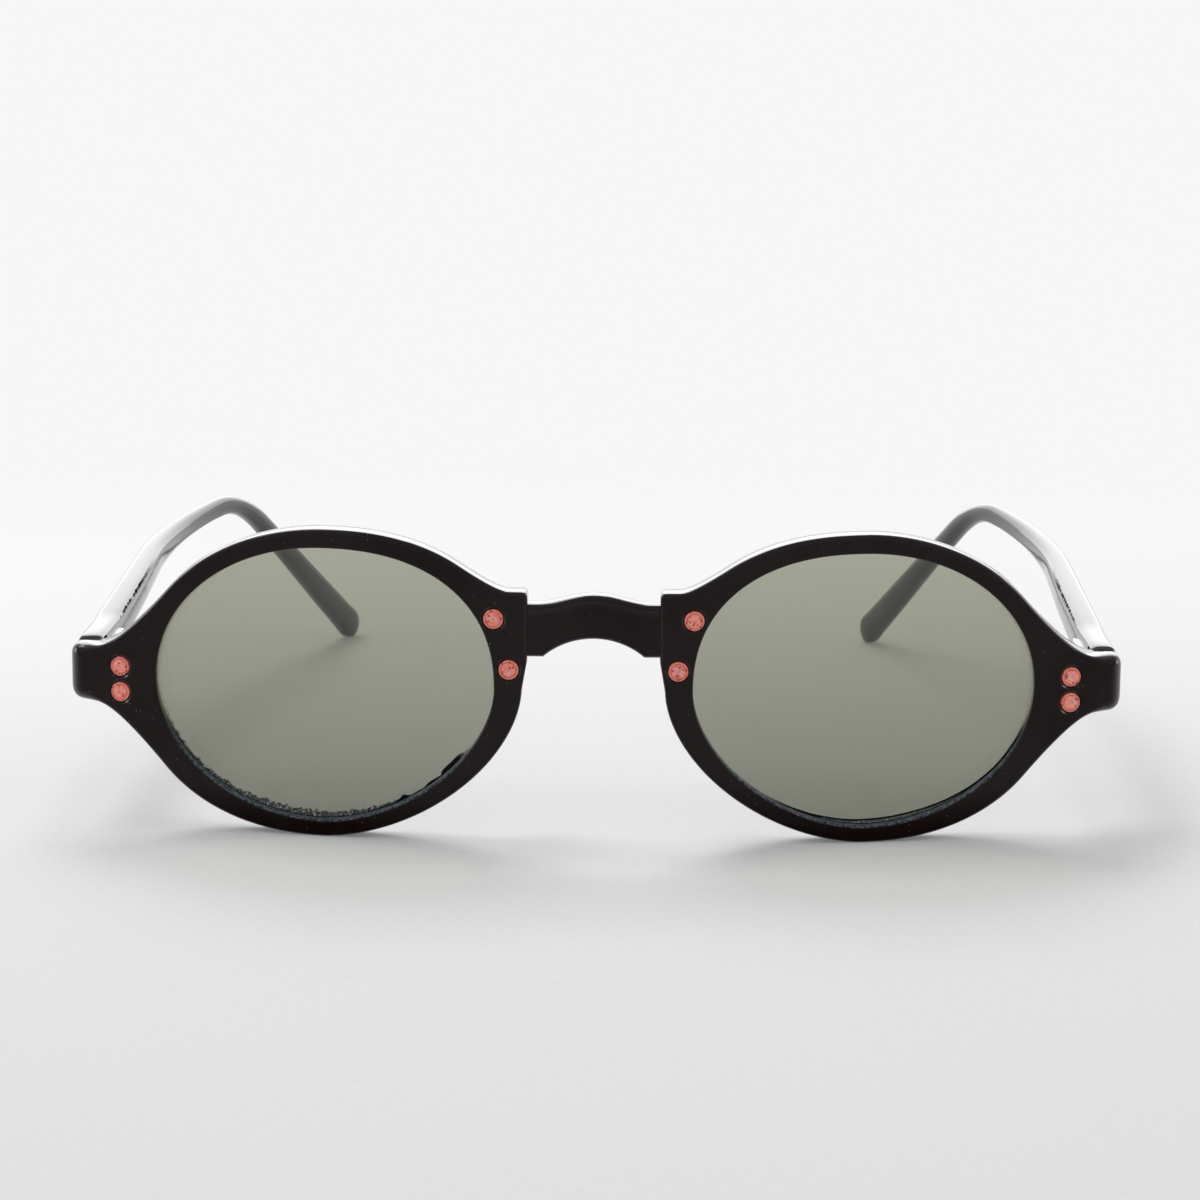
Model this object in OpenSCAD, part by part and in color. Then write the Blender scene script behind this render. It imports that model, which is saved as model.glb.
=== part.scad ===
// Oval sunglasses with riveted hinges, standing open on a flat surface.
// X runs across the face (left ear at +X), Y runs back along the temples, Z is up.
// The origin is on the surface, under the middle of the whole object.

/* [Front] */
// Thickness of the rims from face to back
rim_t = 4; // [3.6:0.1:4.6]
// Radius of the wrap of the face, seen from above
wrap_r = 250; // [220:5:400]
// Width of the rim below each lens
rim_bottom = 2.2; // [1.6:0.1:3]
// Width of the rim above each lens
rim_top = 2.5; // [1.8:0.1:3.4]
// Width of the rim on the nose side of each lens
rim_nose = 3.6; // [3.2:0.1:4.4]
// Width of the rim on the ear side of each lens
rim_ear = 3.2; // [2.6:0.1:3.6]

/* [Lenses] */
// Width of each lens opening
lens_w = 44.4; // [42:0.2:50]
// Height of each lens opening
lens_h = 35.8; // [33:0.2:38]
// Distance between the two lens openings
lens_gap = 25.6; // [24:0.2:27]
// Thickness of a lens
lens_t = 1.9; // [1.4:0.1:2.1]
// Depth of the lens behind the face
lens_set = 1.1; // [0.8:0.1:1.2]
// How far the lens edge runs into its groove
lens_bite = 0.7; // [0.4:0.1:1]
// Play between the lens and its groove
lens_play = 0.04; // [0.02:0.01:0.1]

/* [Bridge] */
// Set-back of the bridge behind the rims
bridge_set = 0.8; // [0.4:0.1:1.4]
// Height of the bridge where it meets the rims
bridge_h = 6.9; // [6:0.1:8]
// Height of the bridge's lower edge above the middle of the lens
bridge_z = 4.3; // [3.6:0.1:5]
// Rise of the arch under the bridge
arch_rise = 2.4; // [1.6:0.1:3]
// Rise of the crown on top of the bridge
crown_rise = 1.25; // [0.6:0.05:2]
// Height of the rim's shoulder above the bridge
shoulder_h = 1.7; // [1:0.1:2.4]

/* [End pieces] */
// Reach of each end piece beyond its lens opening
end_reach = 11.8; // [11:0.1:13]
// Height of each end piece
end_h = 7.5; // [7.2:0.1:8.4]
// Thickness of the end piece at its outer end
end_t = 4.5; // [4:0.1:5.5]
// Size of the rounded lower outer corner
low_corner = 2; // [1:0.1:2.5]
// Size of the rounded upper outer corner
top_corner = 1.4; // [0.6:0.1:2]

/* [Nose pads] */
// How far the pads stand out behind the rims
pad_depth = 4; // [2.5:0.1:5]
// Height of the pads
pad_h = 12.5; // [10:0.5:14]
// Thickness of the pads at the rim
pad_t = 2.6; // [2:0.1:3]
// Angle at which the pads spread towards the back
pad_splay = 20; // [10:1:30]

/* [Rivets] */
// Diameter of the rivet heads
head_d = 2.55; // [2.2:0.05:2.7]
// Thickness of the rivet heads
head_t = 0.4; // [0.3:0.05:0.45]
// Depth of the recess for each rivet head
recess = 0.5; // [0.45:0.05:0.6]
// Width of the dished edge round each rivet head
dish_w = 0.3; // [0.15:0.05:0.35]
// Diameter of the rivet shanks
shank_d = 1.1; // [0.8:0.1:1.3]
// Distance between the two rivets in an end piece
end_pitch = 3.4; // [3:0.1:3.6]
// Distance of the end rivets from the outer end
end_in = 6.8; // [6.4:0.1:7.1]
// Distance between the two rivets in a temple
temple_pitch = 4.4; // [3.4:0.1:5]

/* [Hinges] */
// Radius of the hinge knuckles
knuckle_r = 1.4; // [1.25:0.05:1.5]
// Height of the stack of five knuckles
stack_h = 6.9; // [6:0.1:7]
// Thickness of the hinge leaves
leaf_t = 0.9; // [0.7:0.05:1.1]
// Depth that the temple's leaf is let into the temple
let_in = 0.35; // [0.2:0.05:0.5]
// Diameter of the hinge screw
screw_d = 1.2; // [1:0.05:1.3]
// Diameter of the screw head
screw_head_d = 2; // [1.7:0.05:2.2]
// Radial play between the screw and the knuckles
screw_play = 0.04; // [0.02:0.01:0.08]
// Gap between neighbouring knuckles
knuckle_gap = 0.08; // [0.05:0.01:0.12]
// Gap between each knuckle and the leaf it swings past
swing_gap = 0.2; // [0.15:0.01:0.3]
// Gap between the end piece and the temple
butt_gap = 0.25; // [0.2:0.05:0.4]

/* [Temples] */
// Depth of the temple tips behind the foremost point of the face
tip_depth = 139.6; // [130:0.2:150]
// Depth of the ear bend
bend_y = 105; // [98:0.5:110]
// Rise of the temple's top edge for each millimetre of length
temple_rise = 0.075; // [0.04:0.005:0.1]
// Distance of the temple tips behind the middle of the inward curve
curve_back = 54.5; // [50:0.5:58]
// How far each temple tip lies inside the temple's outer face
tip_in = 24; // [16:0.5:28]
// Thickness of the temple at the hinge
temple_t = 4; // [3.6:0.1:4.4]
// Thickness of the temple from the ear bend to the tip
bend_t = 2.9; // [2.6:0.1:3.6]
// Height of the temple at the ear bend
bend_h = 2.9; // [2.6:0.1:4]
// Height of the temple at the tip
tip_h = 5; // [4.4:0.1:6]
// Diameter of the wire core
core_d = 1.3; // [1:0.1:1.6]

/* [Hidden] */

black = [0.07, 0.06, 0.06];
copper = [0.88, 0.45, 0.40];
steel = [0.75, 0.75, 0.77];
tint = [0.55, 0.57, 0.50, 0.5];

over = 1;
fit = 0.02;
$fn = 48;
face_fn = 360;

// Middle of a lens opening, and the roundness of each quarter of the lens and of the rim:
// upper ear side, upper nose side, lower nose side, lower ear side
lens_x = lens_gap / 2 + lens_w / 2;
lens_z = rim_bottom + lens_h / 2;
lens_round = [2.03, 2.3, 1.78, 1.95];
rim_round = [1.95, 2.3, 1.76, 2.15];
oval_step = 5;
blend_steps = 8;

// Places on the front
end_drop = 0.15;
crease_in = 0.7;
crease_up = 4;
shoulder_out = 1.8;
block_gap = 0.8;
block_in = 0.3;
end_x = lens_gap / 2 + lens_w + end_reach;
end_mid = lens_z - end_drop;
end_low = end_mid - end_h / 2;
end_top = end_mid + end_h / 2;
nose_x = lens_gap / 2 - rim_nose;
crease_x = nose_x - crease_in;
crease_z = lens_z + crease_up;
bridge_low = lens_z + bridge_z;
bridge_top = bridge_low + bridge_h;
shoulder_z = bridge_top + shoulder_h;
shoulder_x = nose_x + shoulder_out;
shoulder_corner = 0.6;
block_x = lens_x + lens_w / 2 + lens_bite + block_gap;
flare = 3.5;

// Distance of a surface of the wrapped front behind the foremost point, at x from the middle
function wrap(x, r) = wrap_r - sqrt(r * r - x * x);
butt_y = wrap(end_x, wrap_r) + end_t;

// Hinge: the middle of its height, its axis, and the outer side of the temple's leaf
hinge_z = end_mid;
leaf_out = end_x - temple_t + let_in;
axis_x = leaf_out - leaf_t - swing_gap - knuckle_r;
axis_y = butt_y + leaf_t + swing_gap + knuckle_r;
knuckle_h = (stack_h - 4 * knuckle_gap) / 5;
stack_low = hinge_z - stack_h / 2;
screw_head_h = 0.5;
slot_w = 0.3;
slot_depth = 0.25;
leaf_edge = 1.3;
leaf_lip = 1.2;
plate_more = 1.4;
tail = 0.2;

// Rivets: distance from the middle and height in the front, depth and height in the temple
high_rivet = [3.7, 5];
low_rivet = [1.7, -1.6];
end_rivet_drop = 0.5;
nose_rivets = [for (p = [high_rivet, low_rivet]) [nose_x, bridge_low] + p];
end_rivets = [
    for (s = [1, -1]) [end_x - end_in, end_mid - end_rivet_drop + s * end_pitch / 2]
];
nose_shank = 1.6;
recess_gap = 0.1;
dish_depth = 0.25;
pad_drop = 1.8;

// Temple: its first and last sections, its inward curve and its core
temple_y = butt_y + butt_gap;
butt_trim = 0.5;
butt_drop = 0.15;
butt_h = end_h - butt_trim;
curve_y = tip_depth - curve_back;
curve_half = 20;
bend_half = 6;
tip_len = 2.6;
tip_flat = 0.08;
ring_n = 20;
core_n = 8;
core_gap = 0.05;
core_in = 14;
core_back = 9;
core_start = temple_y + core_in;
core_end = tip_depth - core_back;
rivet_in = 5;
temple_rivets = [temple_y + rivet_in, temple_y + rivet_in + temple_pitch];
temple_leaf_end = temple_rivets[1] + leaf_edge;

// A value part of the way from a to b
function between(a, b, share) = a + (b - a) * share;

// Height, thickness and roundness of the temple at a depth y
function temple_height(y) = lookup(y, [
    [temple_y, butt_h],
    [between(temple_y, bend_y, 0.17), between(bend_h, butt_h, 0.51)],
    [between(temple_y, bend_y, 0.39), between(bend_h, butt_h, 0.34)],
    [between(temple_y, bend_y, 0.67), between(bend_h, butt_h, 0.15)],
    [between(temple_y, bend_y, 0.89), bend_h],
    [bend_y, bend_h],
    [between(bend_y, tip_depth, 0.37), between(bend_h, tip_h, 0.24)],
    [between(bend_y, tip_depth, 0.72), between(bend_h, tip_h, 0.71)],
    [tip_depth, tip_h]
]);
function temple_thickness(y) = lookup(y, [
    [between(temple_y, bend_y, 0.39), temple_t],
    [between(temple_y, bend_y, 0.67), between(bend_t, temple_t, 0.66)],
    [between(temple_y, bend_y, 0.89), between(bend_t, temple_t, 0.16)],
    [bend_y, bend_t]
]);
function temple_round(y) = lookup(y, [
    [between(temple_y, bend_y, 0.22), 4],
    [between(temple_y, bend_y, 0.78), 2.4],
    [bend_y, 2.2],
    [tip_depth, 2.6]
]);

// A ramp that leaves zero at -half and is a straight slope from half onwards
function ramp(u, half) = u <= -half ? 0 : u >= half ? u : pow(u + half, 2) / (4 * half);

// Middle line of the temple at a depth y, where fall is the change of slope at the ear bend
inward = tip_in / ramp(tip_depth - curve_y, curve_half);
function temple_x(y) =
    end_x - temple_thickness(y) / 2 - inward * ramp(y - curve_y, curve_half);
function shank_z(y) =
    end_mid - butt_drop + butt_h / 2 + temple_rise * (y - temple_y) - temple_height(y) / 2;
function temple_mid(y, fall) =
    [temple_x(y), y, shank_z(y) - fall * ramp(y - bend_y, bend_half)];

// Points of one section of the temple, square to its middle line
function unit(v) = v / norm(v);
function section(y, fall, t, h, n, round) =
    let (along = unit(temple_mid(y + 0.1, fall) - temple_mid(y - 0.1, fall)))
    let (across = unit(cross(along, [0, 0, 1])))
    let (up = cross(across, along))
    [for (i = [0 : n - 1])
        let (c = cos(360 * i / n), s = sin(360 * i / n))
        temple_mid(y, fall)
            + across * sign(c) * pow(abs(c), 2 / round) * t / 2
            + up * sign(s) * pow(abs(s), 2 / round) * h / 2];

// Depths of the temple's sections, with each tip section's share of the full size
shank_depths = concat(
    [temple_y - over],
    [for (y = [temple_y + 2 : 6 : curve_y - curve_half]) y],
    [for (y = [curve_y - curve_half + 2 : 4 : bend_y - bend_half - 2]) y],
    [for (y = [bend_y - bend_half : 1.5 : bend_y + bend_half]) y],
    [for (y = [bend_y + bend_half + 3 : 3.5 : tip_depth - tip_len - 2]) y]
);
tip_angles = [0, 20, 40, 55, 70, 84];
function tip_sections(fall) = [
    for (a = tip_angles)
        section(tip_depth - tip_len + tip_len * sin(a), fall,
            temple_thickness(tip_depth) * cos(a), temple_height(tip_depth) * cos(a),
            ring_n, temple_round(tip_depth))
];
function lowest(sections) = min([for (ring = sections) min([for (p = ring) p[2]])]);
function furthest(sections) = max([for (ring = sections) max([for (p = ring) p[1]])]);

// The change of slope at the bend that brings the tip down to the surface
first_fall = (shank_z(tip_depth) - tip_h / 2) / ramp(tip_depth - bend_y, bend_half);
bend_fall = first_fall
    + (lowest(tip_sections(first_fall)) + tip_flat) / ramp(tip_depth - bend_y, bend_half);

// The middle of the whole depth lies over the origin
depth_mid = (wrap(crease_x, wrap_r) + furthest(tip_sections(bend_fall))) / 2;

// A point of an oval about the lens middle, for half widths to the ear and to the nose
// and half heights up and down
function oval_point(a, widths, heights, round) =
    let (c = cos(a), s = sin(a), e = 2 / round[floor(a / 90)])
    [lens_x, lens_z]
        + [sign(c) * widths[c < 0 ? 1 : 0] * pow(abs(c), e),
           sign(s) * heights[s < 0 ? 1 : 0] * pow(abs(s), e)];
function oval(from, to, widths, heights, round) =
    [for (a = [from : oval_step : to]) oval_point(a, widths, heights, round)];

rim_widths = [lens_w / 2 + rim_ear, lens_w / 2 + rim_nose];
rim_heights = [lens_h / 2 + rim_top, lens_h / 2 + rim_bottom];
function rim_point(a) = oval_point(a, rim_widths, rim_heights, rim_round);

// A curve that leaves the rim at the angle a along its tangent and ends level at a point
function blend(a, end) =
    let (p = rim_point(a), d = rim_point(a + 1) - rim_point(a - 1))
    let (knee = p + d * (end[1] - p[1]) / d[1])
    curve(p, knee, end);
function curve(p, knee, end) = [
    for (i = [0 : blend_steps])
        let (t = i / blend_steps)
        p * pow(1 - t, 2) + knee * 2 * t * (1 - t) + end * t * t
];
function reversed(list) = [for (i = [len(list) - 1 : -1 : 0]) list[i]];

// Angles at which the rim's curve gives way to the end piece and to the shoulder
ear_top_angle = 35;
shoulder_angle = 130;
ear_low_angle = 325;

// Outline of the left half of the front, counter-clockwise from the end piece's top
rim_outline = concat(
    reversed(blend(ear_top_angle, [end_x - flare, end_top])),
    oval(ear_top_angle + oval_step, shoulder_angle - oval_step,
        rim_widths, rim_heights, rim_round),
    blend(shoulder_angle, [shoulder_x, shoulder_z]),
    curve([crease_x + shoulder_corner, shoulder_z], [crease_x, shoulder_z],
        [crease_x, shoulder_z - shoulder_corner]),
    [[crease_x, crease_z]],
    oval(180, ear_low_angle - oval_step, rim_widths, rim_heights, rim_round),
    blend(ear_low_angle, [end_x - flare, end_low]),
    curve([end_x - low_corner, end_low], [end_x, end_low], [end_x, end_low + low_corner]),
    curve([end_x, end_top - top_corner], [end_x, end_top], [end_x - top_corner, end_top])
);

module side(s) {
    mirror([s < 0 ? 1 : 0, 0, 0]) translate([0, -depth_mid, 0]) children();
}

module along_y(from, to) {
    translate([0, to, 0]) rotate([90, 0, 0]) linear_extrude(to - from) children();
}

module along_x(from, to) {
    translate([from, 0, 0]) rotate([90, 0, 90]) linear_extrude(to - from) children();
}

// A wrapped sheet between two depths behind the face
module sheet(front, back) {
    translate([0, wrap_r, -over]) difference() {
        cylinder(r = wrap_r - front, h = 2 * rim_heights[0] + rim_heights[1], $fn = face_fn);
        translate([0, 0, -over])
            cylinder(r = wrap_r - back, h = 3 * rim_heights[0] + rim_heights[1], $fn = face_fn);
    }
}

module lens_shape(grow) {
    polygon(oval(0, 360 - oval_step, [lens_w / 2 + grow, lens_w / 2 + grow],
        [lens_h / 2 + grow, lens_h / 2 + grow], lens_round));
}

// Turns a child that points up into one that points squarely into the face
module into_face(p) {
    translate([p[0], wrap(p[0], wrap_r), p[1]])
        rotate([0, 0, asin(p[0] / wrap_r)])
        rotate([-90, 0, 0])
        children();
}

module rivet(length) {
    translate([0, 0, recess - head_t]) cylinder(d = head_d, h = head_t);
    translate([0, 0, recess - fit]) cylinder(d = shank_d, h = length - recess + fit);
}

module rivet_hole(length) {
    hole_d = head_d + 2 * recess_gap;
    translate([0, 0, -over]) cylinder(d = hole_d, h = over + recess);
    translate([0, 0, -dish_depth])
        cylinder(d1 = hole_d + 4 * dish_w, d2 = hole_d, h = 2 * dish_depth);
    cylinder(d = shank_d + 2 * fit, h = length + fit);
}

// Length of an end rivet, from the face to just behind the hinge leaf
end_rivet_len = (butt_y + leaf_t + tail - wrap(end_x - end_in, wrap_r))
    / cos(asin((end_x - end_in) / wrap_r));

module bridge() {
    sunk = 1.5;
    half = crease_x + sunk;
    crown_half = crease_x - 0.9;
    arch_half = crease_x - 2;
    arch_r = (arch_half * arch_half + arch_rise * arch_rise) / (2 * arch_rise);
    intersection() {
        along_y(0, butt_y) difference() {
            translate([-half, bridge_low]) square([2 * half, bridge_h]);
            translate([0, bridge_low + arch_rise - arch_r]) circle(arch_r, $fn = 120);
        }
        sheet(bridge_set, rim_t);
    }
    intersection() {
        along_y(0, butt_y) polygon([
            for (i = [0 : 36])
                let (x = crown_half * (1 - i / 18))
                [x, i == 0 || i == 36 ? bridge_top - crown_rise
                    : bridge_top + crown_rise * (1 + cos(180 * x / crown_half)) / 2]
        ]);
        sheet(bridge_set, rim_t);
    }
}

module front_half() {
    intersection() {
        union() {
            intersection() {
                along_y(-over, butt_y) polygon(rim_outline);
                sheet(0, rim_t);
            }
            along_y(wrap(end_x, wrap_r) + block_in, butt_y) intersection() {
                polygon(rim_outline);
                translate([block_x, end_low]) square([end_x - block_x, end_h]);
            }
        }
        translate([0, -over, -over]) cube([end_x + over, butt_y + over, 3 * rim_heights[0]]);
    }
}

module front_cuts() {
    along_y(-over, butt_y) lens_shape(0);
    intersection() {
        along_y(-over, butt_y) lens_shape(lens_bite + lens_play);
        sheet(lens_set - lens_play, lens_set + lens_t + lens_play);
    }
    for (p = nose_rivets) into_face(p) rivet_hole(recess + nose_shank);
    for (p = end_rivets) into_face(p) rivet_hole(end_rivet_len);
}

module front_frame() {
    color(black) difference() {
        union() {
            for (s = [1, -1]) side(s) front_half();
            side(1) bridge();
        }
        for (s = [1, -1]) side(s) front_cuts();
    }
}

// A pad follows the rim's curve beside the nose and spreads outwards behind it
module nose_pad(s) {
    back_y = wrap(nose_x, wrap_r - rim_t);
    pad_mid = lens_z - pad_drop;
    pad_r = (pad_h * pad_h / 4 + pad_depth * pad_depth) / (2 * pad_depth);
    color(black) side(s) intersection() {
        translate([nose_x, back_y, 0])
            rotate([0, 0, -pad_splay])
            translate([-nose_x, 0, 0])
            along_y(-over, pad_depth + over) difference() {
                rim_oval(0);
                rim_oval(pad_t);
            }
        translate([0, back_y + pad_depth - pad_r, pad_mid])
            rotate([0, 90, 0])
            cylinder(r = pad_r, h = lens_x, $fn = 96);
        translate([0, wrap_r, 0])
            cylinder(r = wrap_r - rim_t, h = 2 * rim_heights[0], $fn = face_fn);
    }
}

module rim_oval(shift) {
    translate([shift, 0]) polygon(oval(0, 360 - oval_step, rim_widths, rim_heights, rim_round));
}

module lens(s) {
    color(tint) side(s) intersection() {
        along_y(-over, butt_y) lens_shape(lens_bite);
        sheet(lens_set, lens_set + lens_t);
    }
}

module nose_rivet_pair(s) {
    color(copper) side(s) for (p = nose_rivets) into_face(p) rivet(recess + nose_shank);
}

module end_rivet_pair(s) {
    color(copper) side(s) for (p = end_rivets) into_face(p) rivet(end_rivet_len);
}

module knuckle(i, r) {
    translate([axis_x, axis_y, stack_low + i * (knuckle_h + knuckle_gap)])
        cylinder(r = r, h = knuckle_h);
}

module screw_hole() {
    translate([axis_x, axis_y, stack_low - over])
        cylinder(d = screw_d + 2 * screw_play, h = stack_h + 2 * over);
}

// The plate on the end piece carries the first, third and fifth knuckles
module hinge_front_leaf(s) {
    plate_in = end_x - end_in - shank_d / 2 - leaf_edge - plate_more;
    plate_h = end_pitch + 2 * leaf_edge;
    plate_mid = (end_rivets[0][1] + end_rivets[1][1]) / 2;
    color(steel) side(s) difference() {
        union() {
            translate([plate_in, butt_y, plate_mid - plate_h / 2])
                cube([axis_x + knuckle_r - plate_in, leaf_t, plate_h]);
            for (i = [0, 2, 4]) {
                knuckle(i, knuckle_r);
                translate([axis_x - knuckle_r, butt_y, stack_low + i * (knuckle_h + knuckle_gap)])
                    cube([2 * knuckle_r, axis_y - butt_y, knuckle_h]);
            }
        }
        screw_hole();
        translate([axis_x, axis_y, stack_low + stack_h - screw_head_h])
            cylinder(d = screw_head_d + 2 * screw_play, h = screw_head_h + over);
        for (p = end_rivets) into_face(p) cylinder(d = shank_d + 2 * fit, h = end_rivet_len + over);
    }
}

module hinge_screw(s) {
    top = stack_low + stack_h;
    color(steel) side(s) translate([axis_x, axis_y, 0]) difference() {
        union() {
            translate([0, 0, stack_low]) cylinder(d = screw_d, h = stack_h - screw_head_h / 2);
            translate([0, 0, top - screw_head_h]) cylinder(d = screw_head_d, h = screw_head_h);
        }
        translate([-screw_head_d, -slot_w / 2, top - slot_depth])
            cube([2 * screw_head_d, slot_w, slot_depth + over]);
    }
}

// Side view of the temple's hinge leaf, in depth and height
module leaf_shape(grow) {
    half = knuckle_h * 1.5 + knuckle_gap;
    tip_r = temple_height(temple_leaf_end) / 2 - leaf_lip;
    tip_z = shank_z(temple_leaf_end);
    polygon([
        [axis_y - knuckle_r - grow, hinge_z - half - grow],
        [temple_leaf_end, tip_z - tip_r - grow],
        [temple_leaf_end, tip_z + tip_r + grow],
        [axis_y - knuckle_r - grow, hinge_z + half + grow]
    ]);
    translate([temple_leaf_end, tip_z]) circle(tip_r + grow);
}

module temple_rivet_place(y) {
    translate([end_x, y, shank_z(y)]) rotate([0, -90, 0]) children();
}

temple_rivet_len = temple_t - let_in + leaf_t + tail;

// The plate in the temple carries the second and fourth knuckles
module hinge_temple_leaf(s) {
    color(steel) side(s) difference() {
        union() {
            along_x(leaf_out - leaf_t, leaf_out) leaf_shape(0);
            for (i = [1, 3]) {
                knuckle(i, knuckle_r);
                translate([axis_x, axis_y - knuckle_r, stack_low + i * (knuckle_h + knuckle_gap)])
                    cube([leaf_out - leaf_t / 2 - axis_x, 2 * knuckle_r, knuckle_h]);
            }
        }
        screw_hole();
        for (y = temple_rivets)
            temple_rivet_place(y) cylinder(d = shank_d + 2 * fit, h = temple_rivet_len + over);
    }
}

// A solid through a list of sections with equal numbers of points
module skin(sections) {
    n = len(sections[0]);
    last = len(sections) - 1;
    polyhedron(
        points = [for (ring = sections) each ring],
        faces = concat(
            [[for (i = [n - 1 : -1 : 0]) i]],
            [for (k = [0 : last - 1], i = [0 : n - 1])
                [k * n + i, k * n + (i + 1) % n, (k + 1) * n + i]],
            [for (k = [0 : last - 1], i = [0 : n - 1])
                [k * n + (i + 1) % n, (k + 1) * n + (i + 1) % n, (k + 1) * n + i]],
            [[for (i = [0 : n - 1]) last * n + i]]
        )
    );
}

module core_shape(grow) {
    inner = [for (y = shank_depths) if (y > core_start + over && y < core_end - over) y];
    skin([
        for (y = concat(core_start - grow, inner, core_end + grow))
            section(y, bend_fall, core_d + 2 * grow, core_d + 2 * grow, core_n, 2)
    ]);
}

module temple(s) {
    color(black) side(s) difference() {
        skin(concat(
            [for (y = shank_depths)
                section(y, bend_fall, temple_thickness(y), temple_height(y),
                    ring_n, temple_round(y))],
            tip_sections(bend_fall)
        ));
        translate([0, temple_y - 3 * over, 0]) cube([2 * end_x, 3 * over, 2 * end_top]);
        translate([0, bend_y, -over]) cube([2 * end_x, tip_depth, over]);
        along_x(leaf_out - 2 * temple_t, leaf_out) leaf_shape(fit);
        for (y = temple_rivets) temple_rivet_place(y) rivet_hole(temple_t);
        core_shape(core_gap);
    }
}

module temple_rivet_pair(s) {
    color(copper) side(s) for (y = temple_rivets) temple_rivet_place(y) rivet(temple_rivet_len);
}

module temple_core(s) {
    color(steel) side(s) core_shape(0);
}

front_frame();
nose_pad(1);  // nose_pad_left
nose_pad(-1);  // nose_pad_right
lens(1);  // lens_left
lens(-1);  // lens_right
nose_rivet_pair(1);  // nose_rivets_left
nose_rivet_pair(-1);  // nose_rivets_right
end_rivet_pair(1);  // end_rivets_left
end_rivet_pair(-1);  // end_rivets_right
hinge_front_leaf(1);  // hinge_front_leaf_left
hinge_front_leaf(-1);  // hinge_front_leaf_right
hinge_screw(1);  // hinge_screw_left
hinge_screw(-1);  // hinge_screw_right
hinge_temple_leaf(1);  // hinge_temple_leaf_left
hinge_temple_leaf(-1);  // hinge_temple_leaf_right
temple(1);  // temple_left
temple(-1);  // temple_right
temple_rivet_pair(1);  // temple_rivets_left
temple_rivet_pair(-1);  // temple_rivets_right
temple_core(1);  // temple_core_left
temple_core(-1);  // temple_core_right
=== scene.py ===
from functools import cached_property
import math

import bmesh
import bpy
from mathutils import Matrix, Vector


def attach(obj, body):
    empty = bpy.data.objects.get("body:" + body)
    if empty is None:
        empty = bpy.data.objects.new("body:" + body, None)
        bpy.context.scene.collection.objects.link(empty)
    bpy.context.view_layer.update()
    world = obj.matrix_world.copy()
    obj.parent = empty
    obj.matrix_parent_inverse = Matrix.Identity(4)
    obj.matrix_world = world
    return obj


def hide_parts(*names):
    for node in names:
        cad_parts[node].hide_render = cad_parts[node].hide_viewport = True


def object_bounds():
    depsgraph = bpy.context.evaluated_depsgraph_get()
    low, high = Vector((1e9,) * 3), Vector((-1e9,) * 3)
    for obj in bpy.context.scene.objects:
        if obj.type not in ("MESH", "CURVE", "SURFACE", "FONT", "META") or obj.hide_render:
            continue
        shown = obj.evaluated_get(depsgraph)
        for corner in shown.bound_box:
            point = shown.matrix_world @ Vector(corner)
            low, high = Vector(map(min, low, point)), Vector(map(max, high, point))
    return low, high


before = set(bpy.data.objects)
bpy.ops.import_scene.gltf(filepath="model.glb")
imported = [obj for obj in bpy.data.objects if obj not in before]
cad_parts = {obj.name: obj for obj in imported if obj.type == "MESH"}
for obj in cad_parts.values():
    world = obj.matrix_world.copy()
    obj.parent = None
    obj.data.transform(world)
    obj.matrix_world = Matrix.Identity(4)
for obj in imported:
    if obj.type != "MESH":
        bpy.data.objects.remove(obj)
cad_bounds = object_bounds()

# Driving sizes, in millimetres as in the part's source. They become metres in the meshes
MM = 0.001

# Rims and lenses. A roundness is for four quarters: upper ear side, upper nose, lower nose, lower ear
WRAP_R, RIM_T = 250.0, 4.0
RIM_BOTTOM, RIM_TOP, RIM_NOSE, RIM_EAR = 2.2, 2.5, 3.6, 3.2
RIM_ROUND = (1.95, 2.3, 1.76, 2.15)
LENS_W, LENS_H, LENS_GAP, LENS_T = 44.4, 35.8, 25.6, 1.9
LENS_SET, LENS_BITE, LENS_PLAY = 1.1, 0.7, 0.04
LENS_ROUND = (2.03, 2.3, 1.78, 1.95)

# Bridge and end pieces
BRIDGE_SET, BRIDGE_H, BRIDGE_Z = 0.8, 6.9, 4.3
ARCH_IN, ARCH_RISE, CROWN_IN, CROWN_RISE = 2.0, 2.4, 0.9, 1.25
CREASE_IN, CREASE_UP = 0.7, 4.0
SHOULDER_OUT, SHOULDER_H, SHOULDER_CORNER = 1.8, 1.7, 0.6
END_REACH, END_H, END_T, END_DROP = 11.8, 7.5, 4.5, 0.15
LOW_CORNER, TOP_CORNER, FLARE, BLOCK_GAP = 2.0, 1.4, 3.5, 0.8

# Angles round a lens, in degrees, where the rim's oval leaves for the end piece, shoulder and crease
TOP_LEAVE, SHOULDER_LEAVE, CREASE_LEAVE, LOW_LEAVE = 35, 130, 180, 325

# Rivets and hinges
HEAD_D, HEAD_T, SHANK_D, FIT = 2.55, 0.4, 1.1, 0.02
RECESS, RECESS_GAP, DISH_W, DISH_DEPTH = 0.5, 0.1, 0.3, 0.25
HIGH_RIVET, LOW_RIVET, NOSE_SHANK = (3.7, 5.0), (1.7, -1.6), 1.6
END_IN, END_PITCH, END_RIVET_DROP, TAIL = 6.8, 3.4, 0.5, 0.2
LEAF_T, LEAF_EDGE, LEAF_LIP, LET_IN = 0.9, 1.3, 1.2, 0.35
KNUCKLE_R, KNUCKLE_GAP, STACK_H = 1.4, 0.08, 6.9
SWING_GAP, BUTT_GAP = 0.2, 0.25

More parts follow.
